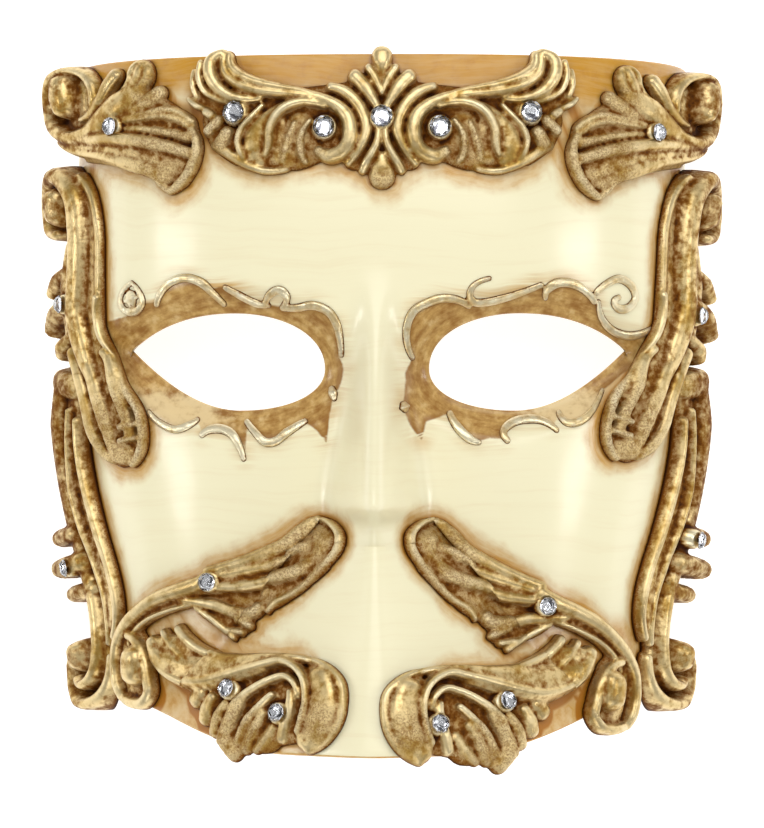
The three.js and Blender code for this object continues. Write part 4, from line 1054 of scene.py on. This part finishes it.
def leaf_finish(name, colours, tones, amount, steepness=1.0):
    """Metal leaf in three tones, rubbed bright on the ridges, under a brown wash, with painted shade low on
    the castings and on the side walls.
    """
    material, tree, shader = new_material(name, {"Specular IOR Level": 0.08})
    rise = times(tree, stored(tree, "rise"), steepness)
    wash_and_shade = use_group(tree, "patina_and_shade", {"Hollow_and_wall_shade": stored(tree, "hollow_and_wall_shade"), "Coarse": stored(tree, "coarse"),
                                      "Rise": rise, "Amount": amount})
    bright, middle, warm = ((*tone, 1) for tone in tones)
    ridge = rise_between(tree, stored(tree, "hollow_and_wall_shade"), -0.7, -0.05)
    leaf = mixed(tree, ridge, bright, mixed(tree, wash_and_shade["Gold"], middle, warm))
    # The wash colours also paint the shade at the foot of the castings and on the side walls
    brown = mixed(tree, wash_and_shade["Deep"], (*colours.wash_and_shade, 1), (*colours.deep_wash_and_shade, 1))
    feed(tree, shader["Base Color"], mixed(tree, wash_and_shade["Brown"], leaf, brown))
    feed(tree, shader["Metallic"], rise_between(tree, wash_and_shade["Brown"], 0.1, 0.9, 0.85, 0.0))
    feed(tree, shader["Roughness"], rise_between(tree, wash_and_shade["Brown"], 0.0, 1.0, 0.33, 0.6))
    feed(tree, shader["Normal"], bump(tree, wash_and_shade["Height"], 0.35 * MM, 0.5))
    return material


# Bands of the face that the glaze follows, in metres: heights Y, and distances from the midline
TOP_BAND = (0.082, 0.092)
UPPER_LIDS = (0.028, 0.036)
LOWER_LIDS = (0.002, 0.008)
OUTER_LIDS = (0.036, 0.052)
LOW_CHEEKS = (-0.064, -0.057)
BESIDE_CHIN = (0.038, 0.046)


def glaze_and_shade_cover(tree, across, height, near, streaks, cloud, blotch):
    """Where glaze lies: round castings and eye holes, along the top, beside the chin and faintly all over.
    Close against the castings it is painted contact shade as well as glaze.
    """
    long_streaks, fine_streaks = streaks
    drawn = use_group(tree, "contour_streaks", {"Away": near, "Fineness": 0.7, "Length": 90.0})["Streaks"]
    wavering = stirred(tree, stirred(tree, near, cloud, -8.0), blotch, -3.0)
    round_castings = times(tree, rise_between(tree, wavering, 0.0, 6.0, 1.0, 0.0),
                           rise_between(tree, drawn, 0.3, 0.7, 0.6, 0.95))
    # Painted contact shade: the glaze darkest right against the castings
    glaze_and_shade_against_castings = rise_between(tree, near, 0.2, 2.6, 1.0, 0.0)
    upper_edge = times(tree, rise_between(tree, stirred(tree, height, cloud, 0.02), *TOP_BAND),
                       rise_between(tree, fine_streaks, 0.3, 0.7, 0.88, 1.0))
    round_eyes = times(tree, rise_between(tree, stored(tree, "eye_surround"), 0.0, 6.0, 1.0, 0.0),
                       rise_between(tree, long_streaks, 0.35, 0.65))
    round_eyes = times(tree, round_eyes, rise_between(tree, height, *UPPER_LIDS, 0.45, 0.85))
    faint = rise_between(tree, long_streaks, 0.45, 0.8, 0.0, 0.09)
    beside_chin = times(tree, rise_between(tree, across, *BESIDE_CHIN),
                        rise_between(tree, height, *LOW_CHEEKS, 1.0, 0.0))
    beside_chin = times(tree, beside_chin, rise_between(tree, blotch, 0.3, 0.7, 0.6, 0.9))
    return largest(tree, round_castings, upper_edge, glaze_and_shade_against_castings, round_eyes, faint, beside_chin)


def eye_surround_colour(tree, colours, across, height, edge, blotch):
    """Dull gold under a dark glaze, worn pale in places and most of all on the outer lower lids."""
    away = stored(tree, "eye_away")
    led = use_group(tree, "contour_streaks", {"Away": away, "Fineness": 0.8, "Length": 150.0})["Streaks"]
    patches = math_node(tree, "MULTIPLY_ADD", blotch, 0.8, times(tree, led, 0.5))
    shadow = (*colours.eye_shadow, 1)
    colour = mixed(tree, rise_between(tree, patches, 0.42, 0.86), shadow, (*colours.eye_gold, 1))
    colour = mixed(tree, rise_between(tree, edge, -2.2, -0.2, 0.0, 0.8), colour, shadow)
    outer_lid = times(tree, rise_between(tree, across, *OUTER_LIDS),
                      rise_between(tree, height, *LOWER_LIDS, 1.0, 0.0))
    pale = math_node(tree, "MULTIPLY_ADD", outer_lid, 0.45, blotch)
    return mixed(tree, rise_between(tree, pale, 0.5, 0.95, 0.0, 0.9), colour, (*colours.eye_light, 1))


def lacquer_finish(name, colours):
    """Ivory lacquer under its glaze, with painted contact shade against the castings and the painted eye
    surrounds.
    """
    settings = {"Specular IOR Level": 0.2, "Coat Weight": 0.6, "Coat Roughness": 0.2}
    material, tree, shader = new_material(name, settings)
    long_streaks = use_group(tree, "brush_streaks", {"Length": 22.0, "Fineness": 420.0})["Streaks"]
    fine_streaks = use_group(tree, "brush_streaks", {"Length": 90.0, "Fineness": 900.0})["Streaks"]
    place = object_place(tree)
    cloud = noise(tree, 60.0, 3.0, vector=place)
    blotch = noise(tree, 260.0, 4.0, 0.6, place)
    near = stored(tree, "near_casting")
    parts = put(tree, "ShaderNodeSeparateXYZ", {0: place}).outputs
    across = math_node(tree, "ABSOLUTE", parts["X"])
    height = parts["Y"]
    glaze = glaze_and_shade_cover(tree, across, height, near, (long_streaks, fine_streaks), cloud, blotch)
    # Deeper glaze in blotches, and close to the castings a painted contact shade
    gathered_glaze_and_shade = largest(tree, rise_between(tree, blotch, 0.45, 0.75, 0.0, 0.4),
                       rise_between(tree, near, 0.2, 1.2, 1.0, 0.0))
    tint = mixed(tree, gathered_glaze_and_shade, (*colours.glaze, 1), (*colours.deep_glaze_and_shade, 1))
    lacquer = mixed(tree, glaze, (*colours.ivory, 1), tint)
    edge = stirred(tree, stored(tree, "eye_surround"), blotch, 0.8)
    surround = rise_between(tree, edge, -0.3, 0.4, 1.0, 0.0)
    painted = eye_surround_colour(tree, colours, across, height, edge, blotch)
    feed(tree, shader["Base Color"], mixed(tree, surround, lacquer, painted))
    feed(tree, shader["Roughness"], rise_between(tree, glaze, 0.0, 0.9, 0.34, 0.5))
    feed(tree, shader["Normal"], bump(tree, fine_streaks, 0.05 * MM, 0.3))
    return material


def paper_finish(name, colours):
    """Bare papier-mâché inside the mask: pulp, overlapping strips and a little size soaked in."""
    material, tree, shader = new_material(name, {"Roughness": 0.85})
    place = object_place(tree)
    pulp = noise(tree, 900.0, 4.0, 0.65, place)
    strips = put(tree, "ShaderNodeTexVoronoi", {"Vector": place, "Scale": 45.0, "Randomness": 1.0},
                 feature="F1").outputs["Color"]
    strip_tone = put(tree, "ShaderNodeSeparateColor", {0: strips}).outputs[0]
    colour = mixed(tree, rise_between(tree, strip_tone, 0.0, 1.0, 0.0, 0.5), (*colours.paper, 1),
                   (*colours.sized_paper, 1))
    colour = mixed(tree, rise_between(tree, pulp, 0.4, 0.75, 0.0, 0.35), colour, (*colours.sized_paper, 1))
    feed(tree, shader["Base Color"], colour)
    relief_height = math_node(tree, "MULTIPLY_ADD", strip_tone, 0.8, pulp)
    feed(tree, shader["Normal"], bump(tree, relief_height, 0.3 * MM, 0.6))
    return material


def rim_finish(name, colours):
    """The cut edges of the shell: glaze rubbed over lacquer, worn through in places."""
    settings = {"Roughness": 0.5, "Coat Weight": 0.3, "Coat Roughness": 0.25}
    material, tree, shader = new_material(name, settings)
    place = object_place(tree)
    patches = noise(tree, 220.0, 4.0, 0.6, place)
    streaks = use_group(tree, "brush_streaks", {"Length": 40.0, "Fineness": 900.0})["Streaks"]
    colour = mixed(tree, rise_between(tree, patches, 0.35, 0.65), (*colours.glaze, 1), (*colours.eye_gold, 1))
    colour = mixed(tree, rise_between(tree, streaks, 0.5, 0.75, 0.0, 0.6), colour, (*colours.eye_shadow, 1))
    feed(tree, shader["Base Color"], colour)
    feed(tree, shader["Normal"], bump(tree, patches, 0.15 * MM, 0.4))
    return material


def crystal_finish(name):
    settings = {"Base Color": (0.97, 0.98, 1.0, 1), "Metallic": 0.0, "Transmission Weight": 1.0,
                "IOR": 1.62, "Roughness": 0.01}
    return new_material(name, settings)[0]


FOIL_SILVER = (0.9, 0.91, 0.93, 1)
FOIL_SPOTS = (0.42, 0.40, 0.38, 1)
# Facets painted dark: painted reflections of the cut stone
DARK_FACET = (0.14, 0.14, 0.16, 1)


def foil_finish(name):
    """Mirror foil behind a crystal, some of its facets painted dark as painted reflections."""
    material, tree, shader = new_material(name, {"Metallic": 1.0})
    spots = noise(tree, 2600.0, 2.0, 0.6, object_place(tree))
    colour = mixed(tree, rise_between(tree, spots, 0.55, 0.75, 0.0, 0.4), FOIL_SILVER, FOIL_SPOTS)
    feed(tree, shader["Base Color"], mixed(tree, stored(tree, "painted_dark_facets"), colour, DARK_FACET))
    feed(tree, shader["Roughness"], rise_between(tree, spots, 0.4, 0.8, 0.08, 0.3))
    return material


def floor_finish(name, colour):
    settings = {"Roughness": 0.9, "Emission Color": (1, 1, 1, 1), "Emission Strength": 0.6}
    material, tree, shader = new_material(name, settings)
    speckle = noise(tree, 30.0, 3.0, vector=object_place(tree))
    darker = (*(0.985 * part for part in colour), 1)
    feed(tree, shader["Base Color"], mixed(tree, speckle, (*colour, 1), darker))
    return material


def length(label, use, default):
    return bpy.props.FloatProperty(name=label, description=use, default=default, unit="LENGTH", precision=5)


def tone(label, use, *colour):
    return bpy.props.FloatVectorProperty(name=label, description=use, default=colour, size=3, subtype="COLOR")


# What a user would change
class MaskSizes(bpy.types.PropertyGroup):
    wall: length("Wall", "Thickness of the papier-mâché shell", 2.6 * MM)
    rim_round: length("Rim rounding", "Rounding of the shell's cut edges", 0.7 * MM)
    casting_grain: length("Casting grain", "Size of the faces that carve the castings", 0.43 * MM)
    line_grain: length("Line grain", "Size of the faces of the raised eye lines", 0.3 * MM)
    grain_size: length("Grain size", "Size of the bumps in the cast skin", 1.1 * MM)


class MaskColours(bpy.types.PropertyGroup):
    ivory: tone("Ivory", "Lacquer of the face", 0.90, 0.84, 0.57)
    glaze: tone("Glaze", "Thin antiquing glaze over the lacquer", 0.58, 0.28, 0.018)
    # Also painted contact shade close against the castings
    deep_glaze_and_shade: tone("Deep glaze", "Glaze where it gathered", 0.42, 0.16, 0.012)
    eye_gold: tone("Eye gold", "Dull gold of the eye surrounds", 0.62, 0.39, 0.12)
    eye_shadow: tone("Eye shadow", "Dark glaze of the eye surrounds", 0.30, 0.13, 0.018)
    eye_light: tone("Eye light", "Worn places in the eye surrounds", 0.80, 0.62, 0.33)
    rubbed_silver: tone("Rubbed silver", "Leaf rubbed bright on the ridges", 0.84, 0.75, 0.51)
    silver: tone("Silver", "Cooler tone of the leaf", 0.71, 0.54, 0.26)
    bright_silver: tone("Bright silver", "Leaf of the raised eye lines", 0.93, 0.90, 0.80)
    gold: tone("Gold", "Warmer tone of the leaf", 0.43, 0.27, 0.065)
    # Also painted shade at the foot of the castings and on the side walls
    wash_and_shade: tone("Wash", "Brown wash in the hollows", 0.21, 0.07, 0.004)
    # Also painted contact shade at the very foot of each casting
    deep_wash_and_shade: tone("Deep wash", "Wash at the bottom of the grooves", 0.038, 0.009, 0.0005)
    paper: tone("Paper", "Bare inside of the shell", 0.62, 0.55, 0.43)
    sized_paper: tone("Sized paper", "Paper where the size soaked in", 0.45, 0.37, 0.26)
    floor: tone("Floor", "Pale floor under the mask", 0.93, 0.93, 0.93)


def grain_texture(size):
    texture = bpy.data.textures.get("cast_grain") or bpy.data.textures.new("cast_grain", "CLOUDS")
    texture.noise_scale = size
    texture.noise_depth = 2
    return texture


class MASK_OT_finishes(bpy.types.Operator):
    """Makes the shared shader groups and all materials"""
    bl_idname = "mask.finishes"
    bl_label = "Finishes"

    def execute(self, context):
        colours = context.scene.mask_colours
        build_brush_streaks()
        build_contour_streaks()
        build_patina_and_shade()
        leaf = (colours.rubbed_silver, colours.silver, colours.gold)
        leaf_finish("leaf_on_crest", colours, leaf, -0.02)
        leaf_finish("leaf_on_castings", colours, leaf, 0.01)
        worn_silver = (colours.bright_silver, colours.rubbed_silver, colours.silver)
        leaf_finish("leaf_on_eye_lines", colours, worn_silver, -0.04, 3.8)
        lacquer_finish("ivory_lacquer", colours)
        paper_finish("bare_paper", colours)
        rim_finish("glazed_rim", colours)
        crystal_finish("cut_crystal")
        foil_finish("mirror_foil")
        floor_finish("pale_floor", colours.floor)
        return {"FINISHED"}


class MASK_OT_crest(bpy.types.Operator):
    """Carves the brow crest, with its palmette, its two C scrolls and its leaves"""
    bl_idname = "mask.crest"
    bl_label = "Brow crest"

    def execute(self, context):
        sizes = context.scene.mask_sizes
        mirrored = [([(-girth, y) for girth, y in path], *rest) for path, *rest in CREST_HALF]
        ridges = CREST_MIDDLE + CREST_HALF + mirrored
        flat_piece = flat_casting("crest_flat", ridges, sizes.casting_grain / MM)
        flat = corners(flat_piece)
        crystals = [CENTRE_CRYSTAL]
        for girth, y, lift, radius in CREST_CRYSTALS.values():
            crystals += [(girth, y, lift, radius), (-girth, y, lift, radius)]
        set_crystals(flat, crystals)
        seat_back(flat)
        piece = lay_on_face("brow_crest_carved", flat_piece, flat, 1, {"shift": (CREST_SHIFT, 0)},
                            CREST_COARSE, grain_texture(sizes.grain_size))
        dress(piece, "silver_gold_leaf", "brow_crest", bpy.data.materials["leaf_on_crest"])
        bpy.data.objects.remove(flat_piece)
        return {"FINISHED"}


class MASK_OT_side_castings(bpy.types.Operator):
    """Carves each side casting once and lays a copy of it on each half of the face"""
    bl_idname = "mask.side_castings"
    bl_label = "Side castings"

    def execute(self, context):
        sizes = context.scene.mask_sizes
        for name, (ridges, crystals, twin_seat, coarse) in SIDE_CASTINGS.items():
            flat_piece = flat_casting(name + "_flat", ridges, sizes.casting_grain / MM)
            for side, hand in HANDS:
                flat = corners(flat_piece)
                set_crystals(flat, [own_crystal(crystal, side) for crystal in crystals.values()])
                seat_back(flat)
                seat = twin_seat if side > 0 else {}
                piece = lay_on_face(f"{name}_{hand}_carved", flat_piece, flat, side, seat, coarse,
                                    grain_texture(sizes.grain_size))
                dress(piece, "silver_gold_leaf", f"{name}_{hand}", bpy.data.materials["leaf_on_castings"])
            bpy.data.objects.remove(flat_piece)
        return {"FINISHED"}


# Shares of its width and height that an eye line has along its way
LINE_WIDTHS = (0.6, 0.9, 0.9, 0.5)
LINE_HEIGHTS = (0.7, 1, 1, 0.6)


class MASK_OT_eye_lines(bpy.types.Operator):
    """Raises the thin scrolled lines round each eye hole"""
    bl_idname = "mask.eye_lines"
    bl_label = "Raised eye lines"

    def execute(self, context):
        sizes = context.scene.mask_sizes
        for side, hand in HANDS:
            ridges = [(path, [half * part for part in LINE_WIDTHS], [tall * part for part in LINE_HEIGHTS])
                      for half, tall, path in EYE_LINES[hand]]
            flat_piece = flat_casting(f"eye_lines_{hand}_flat", ridges, sizes.line_grain / MM)
            flat = corners(flat_piece)
            flat[:, 2] = np.maximum(flat[:, 2], 0.02)
            piece = lay_on_face(f"eye_lines_{hand}", flat_piece, flat, side, {}, (),
                                grain_texture(sizes.grain_size), grain_above=0.3)
            dress(piece, "silver_gold_leaf", None, bpy.data.materials["leaf_on_eye_lines"])
            bpy.data.objects.remove(flat_piece)
        return {"FINISHED"}


def glaze_gap(x, y):
    """Millimetres by which the glaze keeps off the prow, or below 0 reaches further round the chin leaves."""
    prow = (1 - soft_step(8, 20, np.abs(x))) * (1 - soft_step(-60, -45, y))
    chin = soft_step(35, 45, np.abs(x)) * (1 - soft_step(-84, -76, y))
    return 9 * prow - 2 * chin


class MASK_OT_shell(bpy.types.Operator):
    """Forms the hollow shell, rounds its rims and notes how near each place is to castings and eye holes"""
    bl_idname = "mask.shell"
    bl_label = "Face shell"

    def execute(self, context):
        sizes = context.scene.mask_sizes
        points, faces, drops = shell_skin(sizes.rim_round / MM)
        piece = new_piece("mask_shell_lacquered", points * MM, faces)
        for name in ("ivory_lacquer", "bare_paper", "glazed_rim"):
            piece.data.materials.append(bpy.data.materials[name])
        finish_with(piece, "Wall", "SOLIDIFY", thickness=sizes.wall, offset=-1, use_rim=True,
                    material_offset=1, material_offset_rim=2)
        both = corners(piece)
        outer, inner = both[:len(points)], both[len(points):]
        straight = 1 - soft_step(*WALL_STRAIGHTENS_OVER, eye_distance(points[:, 0], points[:, 1]))
        inner[:, :2] += (outer[:, :2] - inner[:, :2]) * straight[:, None]
        outer[:, 2] -= drops * MM
        place_corners(piece, both)
        take(piece)
        bpy.ops.object.mode_set(mode="EDIT")
        bpy.ops.mesh.select_mode(type="FACE")
        bpy.ops.mesh.select_all(action="DESELECT")
        bpy.ops.object.mode_set(mode="OBJECT")
        for face in piece.data.polygons:
            far = eye_distance(face.center.x / MM, face.center.y / MM) > WALL_STRAIGHTENS_OVER[1]
            face.select = face.material_index == 2 and bool(far)
        bpy.ops.object.mode_set(mode="EDIT")
        bpy.ops.mesh.region_to_loop()
        bpy.ops.mesh.bevel(offset=sizes.rim_round, segments=3, affect="EDGES", clamp_overlap=True)
        bpy.ops.object.mode_set(mode="OBJECT")
        points = corners(piece)
        points[:, 2] = np.maximum(points[:, 2], 0)
        place_corners(piece, points)
        x, y = points[:, 0] / MM, points[:, 1] / MM
        write_value(piece, "near_casting", np.minimum(nearest_casting(points), 30) + glaze_gap(x, y))
        write_value(piece, "eye_surround", surround_distance(points / MM))
        write_value(piece, "eye_away", eye_distance(x, y))
        shade_smooth(piece, math.radians(40))
        dress(piece, "lacquered_paper", "mask_shell")
        return {"FINISHED"}


# A cut stone of radius 1 and height 1: radius, level, number and turn of each ring of its corners, and
# the level down to which the foil behind it dips at the three upper rings
STONE_RINGS = ((0.56, 1.0, 8, 0.0), (0.80, 0.80, 8, 0.5), (1.0, 0.48, 16, 0.25), (1.0, 0.40, 16, 0.25),
               (0.45, 0.06, 8, 0.0))
FOIL_DISH = ((1.0, 0.17), (0.80, 0.32), (0.48, 0.43))
CRYSTAL_HEIGHT = 2.4
FOIL_GAP = 0.04
CRYSTAL_TURN = 0.3


def cut_crystal():
    points = []
    for radius, level, count, turn in STONE_RINGS:
        for i in range(count):
            angle = (i + turn) / count * 2 * math.pi
            points.append((radius * math.cos(angle), radius * math.sin(angle), level))
    stone = new_piece("crystal_cut", points, [])
    take(stone)
    bpy.ops.object.mode_set(mode="EDIT")
    bpy.ops.mesh.select_all(action="SELECT")
    bpy.ops.mesh.convex_hull()
    bpy.ops.mesh.normals_make_consistent(inside=False)
    bpy.ops.object.mode_set(mode="OBJECT")
    return stone


class MASK_OT_crystals(bpy.types.Operator):
    """Cuts one crystal and sets a copy of it, over its foil, in each bed"""
    bl_idname = "mask.crystals"
    bl_label = "Crystals"

    def execute(self, context):
        stone = cut_crystal()
        unit = corners(stone)
        settings = [("crystal_brow_centre", CENTRE_CRYSTAL, 1, {"shift": (CREST_SHIFT, 0)})]
        for name, crystal in CREST_CRYSTALS.items():
            for side, hand in HANDS:
                settings.append((f"{name}_{hand}", crystal, side, {"shift": (side * CREST_SHIFT, 0)}))
        for _, crystals, twin_seat, _ in SIDE_CASTINGS.values():
            for name, crystal in crystals.items():
                for side, hand in HANDS:
                    settings.append((f"{name}_{hand}", crystal, side, twin_seat if side > 0 else {}))
        for name, crystal, side, seat in settings:
            girth, y, lift, radius = own_crystal(crystal, side)
            spot = seat_place(np.array([[girth, y, 0.0]]), seat)[0]
            foot = laid(side * spot[0], spot[1], lift)
            out = normal_at(angle_at(side * spot[0]), spot[1])
            turn = Vector((0, 0, 1)).rotation_difference(Vector(out))
            spin = np.array((turn.to_matrix() @ Matrix.Rotation(CRYSTAL_TURN * girth, 3, "Z")))
            both = []
            for layer, sink in (("stone", 0.0), ("foil", FOIL_GAP)):
                piece = bpy.data.objects.new(f"{name}_{layer}", stone.data.copy())
                context.scene.collection.objects.link(piece)
                shaped = unit * (radius, radius, CRYSTAL_HEIGHT)
                if layer == "foil":
                    for level, dished in FOIL_DISH:
                        shaped[np.abs(unit[:, 2] - level) < 0.01, 2] = dished * CRYSTAL_HEIGHT
                    shaped[:, 2] -= sink
                    # Some facets of the foil painted dark, as painted reflections of the cut stone
                    dark = [(3 * i) % 7 < 2 for i in range(len(piece.data.polygons))]
                    painted_dark_facets = piece.data.attributes.new("painted_dark_facets", "FLOAT", "FACE")
                    painted_dark_facets.data.foreach_set("value", np.array(dark, np.float32))
                place_corners(piece, (shaped @ spin.T + foot) * MM)
                both.append(piece)
            clear, foil = both
            clear.data.materials.append(bpy.data.materials["cut_crystal"])
            foil.data.materials.append(bpy.data.materials["mirror_foil"])
            bpy.ops.object.select_all(action="DESELECT")
            foil.select_set(True)
            clear.select_set(True)
            context.view_layer.objects.active = clear
            bpy.ops.object.join()
            dress(clear, "foil_backed_crystal", name)
        bpy.data.objects.remove(stone)
        return {"FINISHED"}


# The lights: place and size in metres, and power in watts
LIGHTS = (
    ("forehead_strip_left", (-0.95, 0.10, 0.62), (0.05, 0.40), 1.2),
    ("forehead_strip_right", (0.95, 0.10, 0.70), (0.05, 0.40), 1.3),
    ("cheek_strip_left", (-0.95, -0.05, 0.62), (0.07, 0.25), 0.7),
    ("cheek_strip_right", (0.95, -0.05, 0.70), (0.07, 0.25), 0.8),
    ("wide_fill", (0.1, 0.9, 1.5), (1.6, 1.2), 15),
    ("low_fill", (0.0, -1.1, 0.9), (0.9, 0.7), 4.5),
)
LIGHT_AIM = Vector((0, 0, 0.05))
WORLD_STRENGTH = 0.4

# The camera of the photo, as it was matched
CAMERA_YAW = math.radians(1.4)
CAMERA_AIM = Vector((1.7, -1.3, 72)) * MM
CAMERA_DISTANCE = 1.003
CAMERA_LENS = 155.3


class MASK_OT_stage(bpy.types.Operator):
    """Lays the floor, hangs the lights and sets the camera nearly straight above the mask"""
    bl_idname = "mask.stage"
    bl_label = "Stage"

    def execute(self, context):
        scene = context.scene
        bpy.ops.object.select_all(action="DESELECT")
        bpy.ops.mesh.primitive_plane_add(size=6, location=(0, 0, 0))
        floor = context.active_object
        floor.name = "pale_floor"
        floor.data.materials.append(bpy.data.materials["pale_floor"])
        for name, place, size, power in LIGHTS:
            light = bpy.data.lights.new(name, "AREA")
            light.shape = "RECTANGLE"
            light.size, light.size_y = size
            light.energy = power
            lamp = bpy.data.objects.new(name, light)
            scene.collection.objects.link(lamp)
            lamp.location = place
            lamp.rotation_euler = (LIGHT_AIM - Vector(place)).to_track_quat("-Z", "Y").to_euler()
        world = bpy.data.worlds.new("studio")
        world.use_nodes = True
        background = world.node_tree.nodes["Background"].inputs
        background["Color"].default_value = (1, 1, 1, 1)
        background["Strength"].default_value = WORLD_STRENGTH
        scene.world = world
        scene.view_settings.view_transform = "Standard"
        camera = bpy.data.objects.new("camera", bpy.data.cameras.new("camera"))
        scene.collection.objects.link(camera)
        back = Vector((math.sin(CAMERA_YAW), 0, math.cos(CAMERA_YAW)))
        camera.location = CAMERA_AIM + back * CAMERA_DISTANCE
        camera.rotation_euler = (0, CAMERA_YAW, 0)
        camera.data.lens = CAMERA_LENS
        camera.data.sensor_width = 36
        camera.data.clip_start = 0.05
        scene.camera = camera
        return {"FINISHED"}


STEPS = (MASK_OT_finishes, MASK_OT_crest, MASK_OT_side_castings, MASK_OT_eye_lines, MASK_OT_shell,
         MASK_OT_crystals, MASK_OT_stage)


class MASK_PT_panel(bpy.types.Panel):
    """Lists the mask's pieces, sizes and colours"""
    bl_idname = "MASK_PT_panel"
    bl_label = "Venetian Mask"
    bl_space_type = "VIEW_3D"
    bl_region_type = "UI"
    bl_category = "Mask"

    def draw(self, context):
        for step in STEPS:
            self.layout.operator(step.bl_idname)
        for group in (context.scene.mask_sizes, context.scene.mask_colours):
            for name in group.__annotations__:
                self.layout.prop(group, name)


CLASSES = (MaskSizes, MaskColours, *STEPS, MASK_PT_panel)


def register():
    for item in CLASSES:
        bpy.utils.register_class(item)
    bpy.types.Scene.mask_sizes = bpy.props.PointerProperty(type=MaskSizes)
    bpy.types.Scene.mask_colours = bpy.props.PointerProperty(type=MaskColours)


def unregister():
    del bpy.types.Scene.mask_colours
    del bpy.types.Scene.mask_sizes
    for item in reversed(CLASSES):
        bpy.utils.unregister_class(item)


def main():
    register()
    bpy.ops.mask.finishes()
    bpy.ops.mask.crest()
    bpy.ops.mask.side_castings()
    bpy.ops.mask.eye_lines()
    bpy.ops.mask.shell()
    bpy.ops.mask.crystals()
    bpy.ops.mask.stage()


if __name__ == "__main__":
    main()
